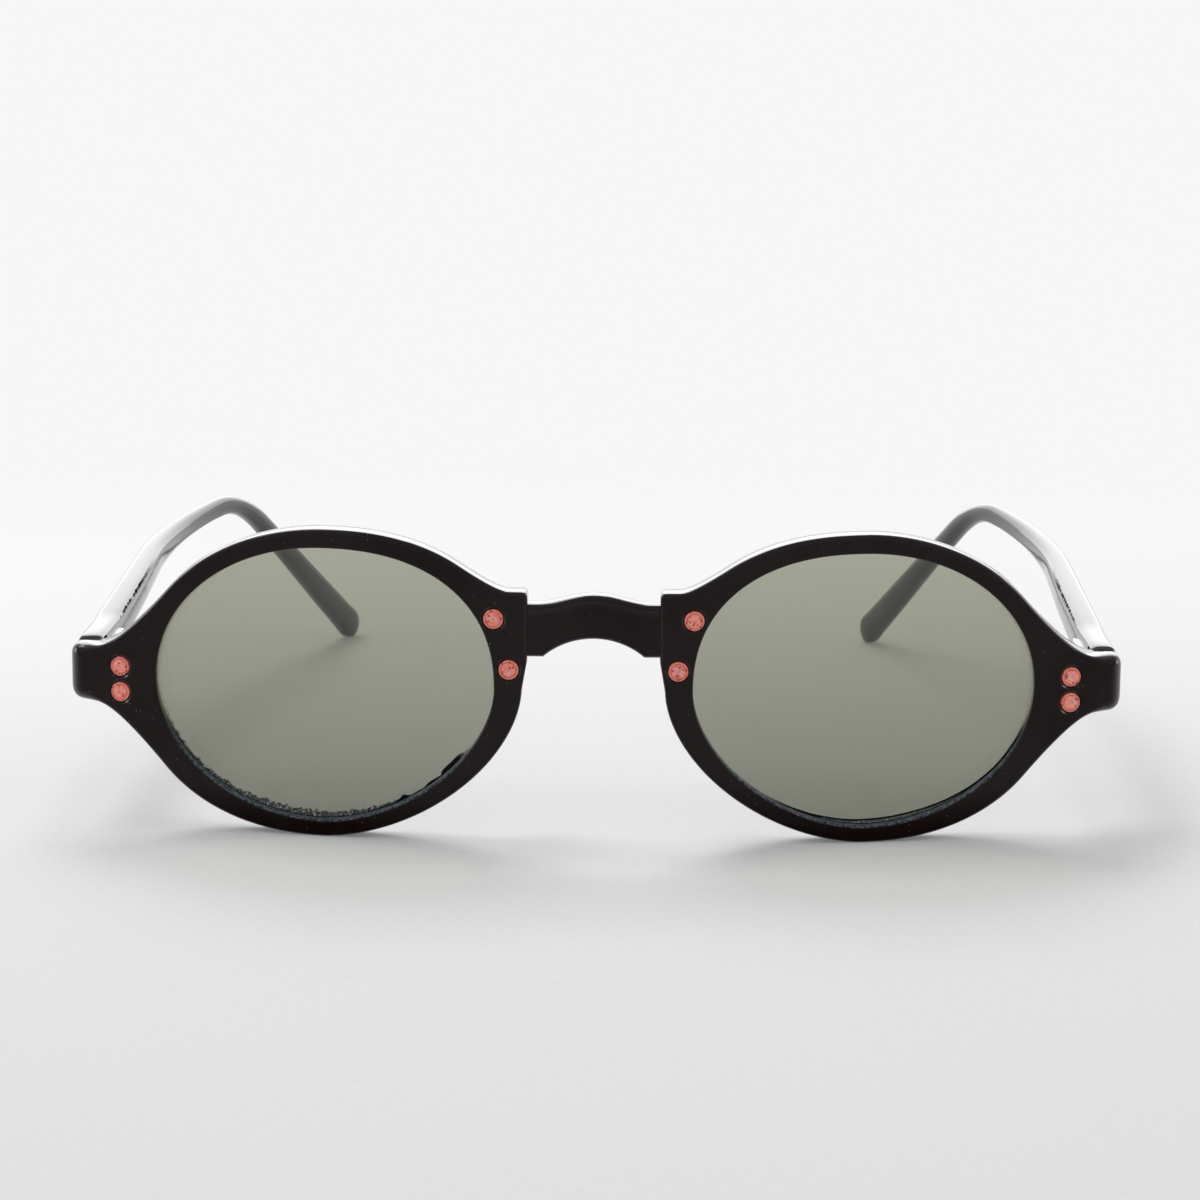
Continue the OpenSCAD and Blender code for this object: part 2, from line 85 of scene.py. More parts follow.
# Temples
BEND_Y, TIP_DEPTH, CURVE_BACK, TIP_IN = 105.0, 139.6, 54.5, 24.0
BUTT_TRIM, BUTT_DROP, BEND_H, TIP_H = 0.5, 0.15, 2.9, 5.0
TEMPLE_T, BEND_T, TEMPLE_RISE = 4.0, 2.9, 0.075
CURVE_HALF, BEND_HALF, TIP_LEN, TIP_FLAT = 20.0, 6.0, 2.6, 0.08
RIVET_IN, TEMPLE_PITCH = 5.0, 4.4

# Finer forms that only the scene has: rounded edges,
FACE_ROUND, END_ROUND, BACK_ROUND, LIP_ROUND, LIP_BACK = 0.5, 1.7, 0.5, 0.3, 0.3
END_ROUND_FROM, END_ROUND_RUN = 64.5, 3.0
BRIDGE_ROUND, BRIDGE_BACK_ROUND, BUTT_ROUND = 0.7, 0.5, 0.4
PAD_SOFT, LEAF_SOFT, SCREW_SOFT, LENS_BEVEL = 0.45, 0.12, 0.06, 0.18
# the smooth step behind the end piece, the wider back of the lens opening, and the pad's tuck,
BLOCK_RUN, BLOCK_FADE, BACK_OPEN, PAD_RISE, PAD_HIDE = 1.25, 2.6, 0.4, 0.22, 0.3
# and the temple's raised top at the hinge, where its sections lie square to Y at first
BUTT_LIFT, LIFT_RUN, SQUARE_RUN = 0.65, 15.0, 5.0

# Reach of the bridge's bar into the rims, of a cutter past the piece, and of the leaf's cutter inwards
BRIDGE_REACH, PAST, POCKET_REACH = 10.0, 2.0, 8.0

# How finely the meshes are made. Points closer than MERGE become one, in millimetres and in metres
STATIONS, BRIDGE_STEPS, LENS_POINTS, TEMPLE_POINTS = 336, 80, 160, 48
BACK_SHARES = (0.84, 0.68, 0.52, 0.36, 0.22, 0.16, 0.12, 0.08, 0.04, 0)
LENS_SHARES = (0.06, 0.16, 0.28, 0.4, 0.52, 0.64, 0.75, 0.85, 0.93, 1)
TIP_ANGLES = (0, 20, 40, 55, 70, 84)
MERGE_MM, MERGE_M = 1e-5, 1e-7

# Angles between faces, in degrees: flat, rounded by a bevel, and shown as a sharp edge
FLAT, BEVELLED, SHARP, SHARP_COPY = 1.5, 28, 35, 40

# What is added to the value that the back of a lens stores, so that it has no marks
UNMARKED = 30.0


def wrap(x, depth=0.0):
    """Distance behind the foremost point of a surface of the wrapped front, at x from the middle."""
    return WRAP_R - math.sqrt((WRAP_R - depth) ** 2 - x * x)


# Places that follow from the sizes, for the left side
LENS_X, LENS_Z = (LENS_GAP + LENS_W) / 2, RIM_BOTTOM + LENS_H / 2
LENS_MID = Vector((LENS_X, LENS_Z))
LENS_HALF = (LENS_W / 2, LENS_H / 2)
RIM_WIDTHS = (LENS_HALF[0] + RIM_EAR, LENS_HALF[0] + RIM_NOSE)
RIM_HEIGHTS = (LENS_HALF[1] + RIM_TOP, LENS_HALF[1] + RIM_BOTTOM)
END_X, END_MID = LENS_GAP / 2 + LENS_W + END_REACH, LENS_Z - END_DROP
END_LOW, END_TOP = END_MID - END_H / 2, END_MID + END_H / 2
NOSE_X = LENS_GAP / 2 - RIM_NOSE
CREASE_X, CREASE_Z = NOSE_X - CREASE_IN, LENS_Z + CREASE_UP
ARCH_HALF, CROWN_HALF = CREASE_X - ARCH_IN, CREASE_X - CROWN_IN
BRIDGE_LOW, BRIDGE_TOP = LENS_Z + BRIDGE_Z, LENS_Z + BRIDGE_Z + BRIDGE_H
SHOULDER_X, SHOULDER_Z = NOSE_X + SHOULDER_OUT, BRIDGE_TOP + SHOULDER_H
BLOCK_FULL = LENS_X + LENS_HALF[0] + LENS_BITE + BLOCK_GAP
BUTT_Y = wrap(END_X) + END_T
DEPTH_MID = wrap(CREASE_X) - cad_bounds[0][1] / MM

NOSE_RIVETS = [(NOSE_X + out, BRIDGE_LOW + up) for out, up in (HIGH_RIVET, LOW_RIVET)]
END_RIVETS = [(END_X - END_IN, END_MID - END_RIVET_DROP + way * END_PITCH / 2) for way in (1, -1)]
LEAF_OUT = END_X - TEMPLE_T + LET_IN
AXIS_Y = BUTT_Y + LEAF_T + SWING_GAP + KNUCKLE_R
KNUCKLE_H = (STACK_H - 4 * KNUCKLE_GAP) / 5

TEMPLE_Y, CURVE_Y = BUTT_Y + BUTT_GAP, TIP_DEPTH - CURVE_BACK
BUTT_H = END_H - BUTT_TRIM
SHANK_TOP = END_MID - BUTT_DROP + BUTT_H / 2
TEMPLE_RIVETS = (TEMPLE_Y + RIVET_IN, TEMPLE_Y + RIVET_IN + TEMPLE_PITCH)
LEAF_END = TEMPLE_RIVETS[1] + LEAF_EDGE


# Shapes of the front, as in the part's source
def power(value, exponent):
    return math.copysign(abs(value) ** exponent, value)


def smooth(t):
    """Rises smoothly from 0 at 0 to 1 at 1."""
    t = max(0.0, min(1.0, t))
    return t * t * (3 - 2 * t)


def rim_point(angle):
    """A point of the rim's oval, whose four quarters each have their own roundness."""
    c, s = math.cos(math.radians(angle)), math.sin(math.radians(angle))
    e = 2 / RIM_ROUND[int(angle % 360 // 90)]
    return Vector((LENS_X + power(c, e) * RIM_WIDTHS[c < 0], LENS_Z + power(s, e) * RIM_HEIGHTS[s < 0]))


def curve(start, knee, end, steps=24):
    """A curve from start to end that sets off towards the knee and arrives from it."""
    shares = [i / steps for i in range(steps + 1)]
    return [start * (1 - t) ** 2 + knee * 2 * t * (1 - t) + end * t * t for t in shares]


def corner(x, z, start, end):
    """A rounded corner at a place, from its start to its end, which are given from the corner."""
    knee = Vector((x, z))
    return curve(knee + Vector(start), knee, knee + Vector(end), 10)


def blend(angle, end):
    """Leaves the oval at an angle, in its direction there, and levels out towards the end."""
    start = rim_point(angle)
    way = rim_point(angle + 1) - rim_point(angle - 1)
    return curve(start, start + way * ((end[1] - start[1]) / way[1]), end)


def rim_outline():
    """The left half of the front seen from its face, counter-clockwise."""
    points = blend(TOP_LEAVE, Vector((END_X - FLARE, END_TOP)))[::-1]
    points += [rim_point(a) for a in range(TOP_LEAVE + 1, SHOULDER_LEAVE)]
    points += blend(SHOULDER_LEAVE, Vector((SHOULDER_X, SHOULDER_Z)))
    points += corner(CREASE_X, SHOULDER_Z, (SHOULDER_CORNER, 0), (0, -SHOULDER_CORNER))
    points += [Vector((CREASE_X, CREASE_Z))]
    points += [rim_point(a) for a in range(CREASE_LEAVE, LOW_LEAVE)]
    points += blend(LOW_LEAVE, Vector((END_X - FLARE, END_LOW)))
    points += corner(END_X, END_LOW, (-LOW_CORNER, 0), (0, LOW_CORNER))
    points += corner(END_X, END_TOP, (0, -TOP_CORNER), (-TOP_CORNER, 0))
    return points


def resampled(points, count):
    """As many points as asked, at equal steps along a closed line."""
    closed = points + [points[0]]
    lengths = [0.0]
    for a, b in zip(closed, closed[1:]):
        lengths.append(lengths[-1] + (b - a).length)
    found, k = [], 0
    for i in range(count):
        at = lengths[-1] * i / count
        while lengths[k + 1] < at or lengths[k + 1] == lengths[k]:
            k += 1
        share = (at - lengths[k]) / (lengths[k + 1] - lengths[k])
        found.append(closed[k].lerp(closed[k + 1], share))
    return found


def outward(points):
    """Unit normals of a closed counter-clockwise line, evened out twice over its neighbours."""
    count = len(points)
    ways = [points[(i + 1) % count] - points[i - 1] for i in range(count)]
    found = [Vector((way[1], -way[0])).normalized() for way in ways]
    for _ in range(2):
        found = [(found[i - 1] + found[i] * 2 + found[(i + 1) % count]).normalized()
                 for i in range(count)]
    return found


def lens_edge(point, grow=0.0):
    """The point of the lens opening that lies in the same direction, and the way into the opening."""
    away = point - LENS_MID
    quarter = (0 if away[0] >= 0 else 1) if away[1] >= 0 else (2 if away[0] < 0 else 3)
    n = LENS_ROUND[quarter]
    half_w, half_h = LENS_HALF[0] + grow, LENS_HALF[1] + grow
    a = math.atan2((abs(away[1]) / half_h) ** (n / 2), (abs(away[0]) / half_w) ** (n / 2))
    x, z = half_w * math.cos(a) ** (2 / n), half_h * math.sin(a) ** (2 / n)
    normal = Vector((math.copysign((x / half_w) ** (n - 1) / half_w, away[0]),
                     math.copysign((z / half_h) ** (n - 1) / half_h, away[1]))).normalized()
    place = LENS_MID + Vector((math.copysign(x, away[0]), math.copysign(z, away[1])))
    return place, -normal


def inside(point):
    """How far a point is inside the edge of the lens opening."""
    place, _ = lens_edge(point)
    return (place - LENS_MID).length - (point - LENS_MID).length


# Meshes
def sweep(bm, sections, closed=False):
    """Extrudes a loop of edges through sections of equal count, and gives its first and last loops."""
    count = len(sections[0])
    ring = [bm.verts.new(p) for p in sections[0]]
    edges = [bm.edges.new((ring[i], ring[(i + 1) % count])) for i in range(count)]
    first = list(edges)
    for points in sections[1:] + ([sections[0]] if closed else []):
        made = bmesh.ops.extrude_edge_only(bm, edges=edges)["geom"]
        new = {v for v in made if isinstance(v, bmesh.types.BMVert)}
        ring = [next(e.other_vert(v) for e in v.link_edges if e.other_vert(v) in new) for v in ring]
        for vert, place in zip(ring, points):
            vert.co = place
        edges = [bm.edges.get((ring[i], ring[(i + 1) % count])) for i in range(count)]
    if closed:
        bmesh.ops.remove_doubles(bm, verts=bm.verts, dist=MERGE_MM)
    return first, edges


def add_solid(bm, sections):
    """Sweeps sections into a closed solid, with a flat face at each end."""
    for loop in sweep(bm, sections):
        bmesh.ops.edgeloop_fill(bm, edges=loop)
    return bm


def lathe(bm, profile, place, steps=56):
    """Spins a profile of (radius, height) points about Z into a closed solid, and puts it in place."""
    before = set(bm.verts)
    verts = [bm.verts.new((r, 0, z)) for r, z in profile]
    edges = [bm.edges.new(pair) for pair in zip(verts, verts[1:])]
    bmesh.ops.spin(bm, geom=verts + edges, axis=(0, 0, 1), cent=(0, 0, 0), angle=2 * math.pi,
                   steps=steps, use_merge=True)
    bmesh.ops.remove_doubles(bm, verts=[v for v in bm.verts if v not in before], dist=MERGE_MM)
    bmesh.ops.transform(bm, matrix=place, verts=[v for v in bm.verts if v not in before])


def into_face(x, z):
    """The place of a shape whose Z axis points squarely into the face."""
    lean = math.asin(x / WRAP_R)
    return (Matrix.Translation((x, wrap(x), z)) @ Matrix.Rotation(lean, 4, "Z")
            @ Matrix.Rotation(-math.pi / 2, 4, "X"))


def shade(bm, sharp):
    """Shades a mesh smooth, apart from its sharp edges."""
    for face in bm.faces:
        face.smooth = True
    for edge in bm.edges:
        edge.smooth = not edge.is_manifold or edge.calc_face_angle(0) < math.radians(sharp)


def as_piece(name, bm):
    """Turns a bmesh into an object of the scene."""
    mesh = bpy.data.meshes.new(name)
    bm.to_mesh(mesh)
    bm.free()
    piece = bpy.data.objects.new(name, mesh)
    bpy.context.scene.collection.objects.link(piece)
    return piece


def finished(name, bm, side=1):
    """A piece in the row's metres, from millimetres behind the foremost point, on one side."""
    bmesh.ops.translate(bm, vec=(0, -DEPTH_MID, 0), verts=bm.verts)
    bmesh.ops.scale(bm, vec=(MM * side, MM, MM), verts=bm.verts)
    bmesh.ops.recalc_face_normals(bm, faces=bm.faces)
    shade(bm, SHARP)
    return as_piece(name, bm)


def cut(piece, tools, operation="DIFFERENCE"):
    """Cuts other pieces out of one, or joins them to it, and removes them."""
    for tool in tools:
        change = piece.modifiers.new("cut", "BOOLEAN")
        change.operation = operation
        change.solver = "EXACT"
        change.object = tool
    bpy.context.view_layer.update()
    graph = bpy.context.evaluated_depsgraph_get()
    mesh = bpy.data.meshes.new_from_object(piece.evaluated_get(graph))
    piece.modifiers.clear()
    piece.data = mesh
    for tool in tools:
        bpy.data.objects.remove(tool)
    bm = bmesh.new()
    bm.from_mesh(mesh)
    bmesh.ops.remove_doubles(bm, verts=bm.verts, dist=MERGE_M)
    bmesh.ops.dissolve_degenerate(bm, edges=bm.edges, dist=MERGE_M)
    shade(bm, SHARP)
    bm.to_mesh(mesh)
    bm.free()


def softened(node_name, name, width, segments=3):
    """A copy of a CAD node with its flat faces joined and its edges rounded."""
    bm = bmesh.new()
    bm.from_mesh(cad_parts[node_name].data)
    bmesh.ops.remove_doubles(bm, verts=bm.verts, dist=MERGE_M)
    bmesh.ops.dissolve_limit(bm, angle_limit=math.radians(FLAT), verts=bm.verts, edges=bm.edges)
    bmesh.ops.recalc_face_normals(bm, faces=bm.faces)
    edges = [e for e in bm.edges if e.is_manifold and e.calc_face_angle(0) > math.radians(BEVELLED)]
    bmesh.ops.bevel(bm, geom=edges, offset=width * MM, offset_type="OFFSET", segments=segments,
                    profile=0.5, affect="EDGES", material=-1, clamp_overlap=True)
    shade(bm, SHARP_COPY)
    return as_piece(name, bm)


def paint(piece, finish):
    piece.data.materials.clear()
    piece.data.materials.append(finish)


def dress(piece, body, slot, finish, *nodes):
    """Puts a piece on its body, in place of CAD nodes, and gives it its finish. The slot is not used."""
    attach(piece, body)
    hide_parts(*nodes)
    paint(piece, finish)


def store(piece, name, measure):
    """Stores a measure of each point's place on a piece, for its finish to read."""
    layer = piece.data.attributes.new(name, "FLOAT", "POINT")
    for vert, item in zip(piece.data.vertices, layer.data):
        item.value = measure(vert.co)


def on_face(place):
    """Where a place in metres lies on the left half of the face, and how deep, in millimetres."""
    return Vector((abs(place[0]) / MM, place[2] / MM)), place[1] / MM + DEPTH_MID


# The front: one section of the rim for each point of its outline, and the bridge between
def back_depth(x, z):
    """Depth of the back of the front, which steps back to the flat behind the end piece."""
    over = max(0.0, z - END_TOP, END_LOW - z)
    share = smooth((x - BLOCK_FULL + BLOCK_RUN) / BLOCK_RUN) * (1 - smooth(over / BLOCK_FADE))
    plain = wrap(x, RIM_T)
    return plain + (BUTT_Y - plain) * share


def rim_section(outer, normal, inner, into):
    """The rim from its outer to its inner edge, with rounded edges and the groove for the lens."""
    face_round = FACE_ROUND + (END_ROUND - FACE_ROUND) * smooth((outer[0] - END_ROUND_FROM) / END_ROUND_RUN)

    def at(point, depth):
        return Vector((point[0], wrap(point[0], depth), point[1]))

    def at_back(point, lift):
        return Vector((point[0], back_depth(point[0], point[1]) - lift, point[1]))

    def arc(radius, steps, rising):
        angles = [math.pi / 2 * i / steps for i in range(steps + 1)]
        pairs = [(radius * (1 - math.cos(a)), radius * (1 - math.sin(a))) for a in angles]
        return pairs if rising else pairs[::-1]

    low, high = inner - into * LIP_ROUND, outer - normal * face_round
    points = [at(low.lerp(high, i / 6), 0) for i in range(7)]
    points += [at(outer - normal * inset, depth) for inset, depth in arc(face_round, 7, False)[1:]]
    points += [at_back(outer - normal * inset, lift) for inset, lift in arc(BACK_ROUND, 4, True)]
    back = inner - into * BACK_OPEN
    low, high = back - into * LIP_BACK, outer - normal * BACK_ROUND
    points += [at_back(low.lerp(high, share), 0) for share in BACK_SHARES]
    points += [at_back(back - into * inset, lift) for inset, lift in arc(LIP_BACK, 3, False)[1:]]
    groove = inner - into * (LENS_BITE + LENS_PLAY)
    near, far = LENS_SET - LENS_PLAY, LENS_SET + LENS_T + LENS_PLAY
    points += [at(back, far), at(groove, far), at(groove, near), at(inner, near)]
    points += [at(inner - into * inset, depth) for inset, depth in arc(LIP_ROUND, 4, True)[:-1]]
    return points


def half_front():
    """One rim with its end piece."""
    outline = resampled(rim_outline(), STATIONS)
    sections = [rim_section(point, normal, *lens_edge(point))
                for point, normal in zip(outline, outward(outline))]
    bm = bmesh.new()
    sweep(bm, sections, closed=True)
    return bm


def bridge_bar():
    """The bar between the rims, set back from their face, with an arch below and a low crown on top."""
    arch_r = (ARCH_HALF ** 2 + ARCH_RISE ** 2) / (2 * ARCH_RISE)
    sections = []
    for i in range(BRIDGE_STEPS + 1):
        x = -BRIDGE_REACH + 2 * BRIDGE_REACH * i / BRIDGE_STEPS
        inside_arch = max(0.0, arch_r ** 2 - x * x)
        low = max(BRIDGE_LOW, BRIDGE_LOW + ARCH_RISE - arch_r + math.sqrt(inside_arch))
        swell = (1 + math.cos(math.pi * min(1.0, abs(x) / CROWN_HALF))) / 2
        high = BRIDGE_TOP + CROWN_RISE * swell
        face, back = wrap(x, BRIDGE_SET), wrap(x, RIM_T)
        corners = ((face, low, BRIDGE_ROUND, 180), (back, low, BRIDGE_BACK_ROUND, 270),
                   (back, high, BRIDGE_BACK_ROUND, 0), (face, high, BRIDGE_ROUND, 90))
        points = []
        for y, z, radius, start in corners:
            cy = y + radius if y == face else y - radius
            cz = z + radius if z == low else z - radius
            for k in range(6):
                a = math.radians(start + 90 * k / 5)
                points.append(Vector((x, cy + radius * math.cos(a), cz + radius * math.sin(a))))
        sections.append(points)
    return add_solid(bmesh.new(), sections)


def hole_profile(length):
    """A hole for a rivet: a dished recess for its head, and a bore for its shank."""
    hole_r, shank = HEAD_D / 2 + RECESS_GAP, SHANK_D / 2 + FIT
    return [(0, -2 * DISH_DEPTH), (hole_r + 3 * DISH_W, -2 * DISH_DEPTH), (hole_r, DISH_DEPTH),
            (hole_r, RECESS), (shank, RECESS), (shank, length + FIT), (0, length + FIT)]


def front_holes(name, side):
    """Cutters for the rivet holes of one side. Those of the end piece go right through it."""
    bm = bmesh.new()
    for x, z in NOSE_RIVETS:
        lathe(bm, hole_profile(RECESS + NOSE_SHANK), into_face(x, z))
    for x, z in END_RIVETS:
        lathe(bm, hole_profile(BUTT_Y - wrap(x) + PAST), into_face(x, z))
    return finished(name, bm, side)


def lip(place):
    """1 on the sawn lip of a lens opening, which shows in its lower half, before the lens."""
    point, depth = on_face(place)
    if depth >= wrap(point[0], LENS_SET + LENS_T):
        return 0.0
    fade_from, fade_run, width, soft = 6.0, 10.0, 0.3, 0.15
    return (1 - smooth((point[1] - fade_from) / fade_run)) * smooth((inside(point) + width) / soft)


# Lenses, pads and rivets
def lens_plate():
    """A wrapped plate with a bevelled edge, in rings from the middle of its face to that of its back."""
    front, back, edge = LENS_SET, LENS_SET + LENS_T, LENS_BEVEL
    rings = [(share, 0, front) for share in LENS_SHARES]
    rings += [(1, LENS_BITE - edge, front), (1, LENS_BITE, front + edge)]
    rings += [(1, LENS_BITE, back - edge), (1, LENS_BITE - edge, back)]
    rings += [(share, 0, back) for share in LENS_SHARES[::-1]]
    sections = []
    for share, grow, depth in rings:
        points = []
        for i in range(LENS_POINTS):
            a = 2 * math.pi * i / LENS_POINTS
            place, _ = lens_edge(LENS_MID + Vector((math.cos(a), math.sin(a))), grow)
            x, z = LENS_MID.lerp(place, share)
            points.append(Vector((x, wrap(x, depth), z)))
        sections.append(points)
    return add_solid(bmesh.new(), sections)


def edge_reach(place):
    """How far a point of a lens is inside its opening, in millimetres. The back has no marks."""
    point, depth = on_face(place)
    behind = depth > wrap(point[0], LENS_SET + LENS_T / 2)
    return inside(point) + (UNMARKED if behind else 0)


def tuck(piece):
    """Draws a pad in behind its rim, so that it doesn't show through the lens."""
    for vert in piece.data.vertices:
        point, depth = on_face(vert.co)
        over = inside(point + Vector((0, (depth - wrap(point[0])) * PAD_RISE))) + PAD_HIDE
        if over > 0:
            away = (point - LENS_MID).normalized() * over * MM
            vert.co[0] += math.copysign(away[0], vert.co[0] * away[0])
            vert.co[2] += away[1]


def rivet_profile(length):
    """A flat head with a centre mark, a faint ring and a rounded edge, a shank, and a domed tail."""
    r, top, low, shank = HEAD_D / 2, RECESS - HEAD_T, RECESS, SHANK_D / 2
    mark = [(0, top + 0.05), (0.1, top + 0.045), (0.2, top), (0.5, top - 0.005)]
    ring = [(0.74, top), (0.8, top + 0.02), (0.86, top), (r - 0.14, top + 0.01)]
    edge = [(r - 0.05, top + 0.04), (r - 0.01, top + 0.09), (r, top + 0.15), (r, low - 0.04),
            (r - 0.04, low), (shank, low)]
    tail = [(shank, length - 0.12), (shank - 0.05, length - 0.05), (shank - 0.2, length - 0.01),
            (0, length)]
    return mark + ring + edge + tail


def end_shank(x):
    """Length of an end rivet, which goes squarely into the face and through the hinge's leaf."""
    return (BUTT_Y + LEAF_T + TAIL - wrap(x)) / math.cos(math.asin(x / WRAP_R))


def mark_reach(piece, side, centres, axes):
    """Stores each point's distance from the axis of its rivet, in millimetres, for the copper."""
    def reach(place):
        point = Vector((place[0] * side, place[1], place[2])) / MM
        flat = Vector((point[axes[0]], point[axes[1]]))
        return min((flat - Vector(centre)).length for centre in centres)

    store(piece, "reach", reach)


# Temples: the part's own curves, with more points
def between(a, b, share):
    return a + (b - a) * share


def on_shank(share):
    return between(TEMPLE_Y, BEND_Y, share)


def on_tip(share):
    return between(BEND_Y, TIP_DEPTH, share)


HEIGHTS = [(TEMPLE_Y, BUTT_H), (on_shank(0.17), between(BEND_H, BUTT_H, 0.51)),
           (on_shank(0.39), between(BEND_H, BUTT_H, 0.34)),
           (on_shank(0.67), between(BEND_H, BUTT_H, 0.15)), (on_shank(0.89), BEND_H), (BEND_Y, BEND_H),
           (on_tip(0.37), between(BEND_H, TIP_H, 0.24)), (on_tip(0.72), between(BEND_H, TIP_H, 0.71)),
           (TIP_DEPTH, TIP_H)]
THICKNESSES = [(on_shank(0.39), TEMPLE_T), (on_shank(0.67), between(BEND_T, TEMPLE_T, 0.66)),
               (on_shank(0.89), between(BEND_T, TEMPLE_T, 0.16)), (BEND_Y, BEND_T)]
ROUNDS = [(on_shank(0.22), 4), (on_shank(0.78), 2.4), (BEND_Y, 2.2), (TIP_DEPTH, 2.6)]


def lookup(at, pairs):
    """Reads a value from pairs of a place and a value, in a straight line between them."""
    if at <= pairs[0][0]:
        return pairs[0][1]
    for (a, low), (b, high) in zip(pairs, pairs[1:]):
        if at <= b:
            return between(low, high, (at - a) / (b - a))
    return pairs[-1][1]


def ramp(u, half):
    """0 before a bend and u after it, with a smooth turn within half on both sides."""
    return u if u >= half else max(0.0, u + half) ** 2 / (4 * half)


INWARD = TIP_IN / ramp(TIP_DEPTH - CURVE_Y, CURVE_HALF)


def shank_z(y):
    """Height of the temple's middle line before the ear bend."""
    return SHANK_TOP + TEMPLE_RISE * (y - TEMPLE_Y) - lookup(y, HEIGHTS) / 2


def temple_mid(y, fall):
    """The temple's middle line, which falls by a share of its length after the ear bend."""
    x = END_X - lookup(y, THICKNESSES) / 2 - INWARD * ramp(y - CURVE_Y, CURVE_HALF)
    return Vector((x, y, shank_z(y) - fall * ramp(y - BEND_Y, BEND_HALF)))


def temple_section(y, fall, trim=0.0, share=1.0, count=TEMPLE_POINTS):
    """Points of one section. The first sections lie square to Y, as the flat end does."""
    along = (temple_mid(y + 0.1, fall) - temple_mid(y - 0.1, fall)).normalized()
    along = Vector((0, 1, 0)).lerp(along, min(1.0, (y - TEMPLE_Y) / SQUARE_RUN)).normalized()
    across = along.cross(Vector((0, 0, 1))).normalized()
    up = across.cross(along)
    width = lookup(y, THICKNESSES) / 2 * share - trim
    height = lookup(y, HEIGHTS) / 2 * share - trim
    lift = BUTT_LIFT * (1 - smooth((y - TEMPLE_Y) / LIFT_RUN))
    e = 2 / lookup(y, ROUNDS)
    points = []
    for i in range(count):
        a = 2 * math.pi * i / count
        rise = power(math.sin(a), e)
        points.append(temple_mid(y, fall) + across * power(math.cos(a), e) * width
                      + up * (rise * height + max(0.0, rise) * lift))
    return points


def tip_sections(fall, angles, count=TEMPLE_POINTS):
    """The rounded tip, whose size is that of the full section at the tip's depth."""
    found = []
    for angle in angles:
        a = math.radians(angle)
        y = TIP_DEPTH - TIP_LEN + TIP_LEN * math.sin(a)
        share = math.cos(a) * TIP_H / lookup(y, HEIGHTS)
        found.append(temple_section(y, fall, share=share, count=count))
    return found


def bend_fall():
    """The fall that brings the tip's lowest point down to the floor, with a small flat to stand on."""
    reach = ramp(TIP_DEPTH - BEND_Y, BEND_HALF)
    first = (shank_z(TIP_DEPTH) - TIP_H / 2) / reach
    lowest = min(p[2] for ring in tip_sections(first, TIP_ANGLES, 20) for p in ring)
    return first + (lowest + TIP_FLAT) / reach


FALL = bend_fall()


def temple_bar():
    """One temple: its rounded end at the hinge, sections a millimetre apart, and its rounded tip."""
    sections = []
    for i in range(6):
        a = math.pi / 2 * i / 5
        y = TEMPLE_Y + BUTT_ROUND * (1 - math.cos(a))
        sections.append(temple_section(y, FALL, BUTT_ROUND * (1 - math.sin(a))))
    first, last, spacing = TEMPLE_Y + 1.2, TIP_DEPTH - TIP_LEN - 0.6, 1.0
    y = first
    while y < last:
        sections.append(temple_section(y, FALL))
        y += spacing
    sections += tip_sections(FALL, range(0, 85, 7))
    for ring in sections:
        for point in ring:
            if point[1] > BEND_Y:
                point[1] = min(cad_bounds[1][1] / MM + DEPTH_MID, point[1])
                point[2] = max(0.0, point[2])
    return add_solid(bmesh.new(), sections)


def temple_place(y):
    """The place of a shape whose Z axis points squarely into the temple from outside."""
    return Matrix.Translation((END_X, y, shank_z(y))) @ Matrix.Rotation(-math.pi / 2, 4, "Y")


def temple_holes(name, side):
    """Cutters for a temple's rivet holes and for the pocket of its leaf."""
    bm = bmesh.new()
    for y in TEMPLE_RIVETS:
        lathe(bm, hole_profile(TEMPLE_T), temple_place(y))
    half = KNUCKLE_H * 1.5 + KNUCKLE_GAP + FIT
    tip_r = lookup(LEAF_END, HEIGHTS) / 2 - LEAF_LIP + FIT
    start, tip_z = AXIS_Y - KNUCKLE_R - FIT, shank_z(LEAF_END)
    outline = [(start, END_MID - half)]
    for i in range(17):
        a = math.pi * (i / 16 - 0.5)
        outline.append((LEAF_END + tip_r * math.cos(a), tip_z + tip_r * math.sin(a)))
    outline.append((start, END_MID + half))
    add_solid(bm, [[Vector((x, y, z)) for y, z in outline] for x in (LEAF_OUT - POCKET_REACH, LEAF_OUT)])
    return finished(name, bm, side)


def mark_corner(piece, side):
    """Stores the distance from the temple's top inner corner, the fourth of eight points of a section."""
    def from_corner(place):
        point = Vector((place[0] / MM * side, place[1] / MM + DEPTH_MID, place[2] / MM))
        y = min(BEND_Y, max(TEMPLE_Y, point[1]))
        return (point - temple_section(y, FALL, count=8)[3]).length

    store(piece, "corner", from_corner)


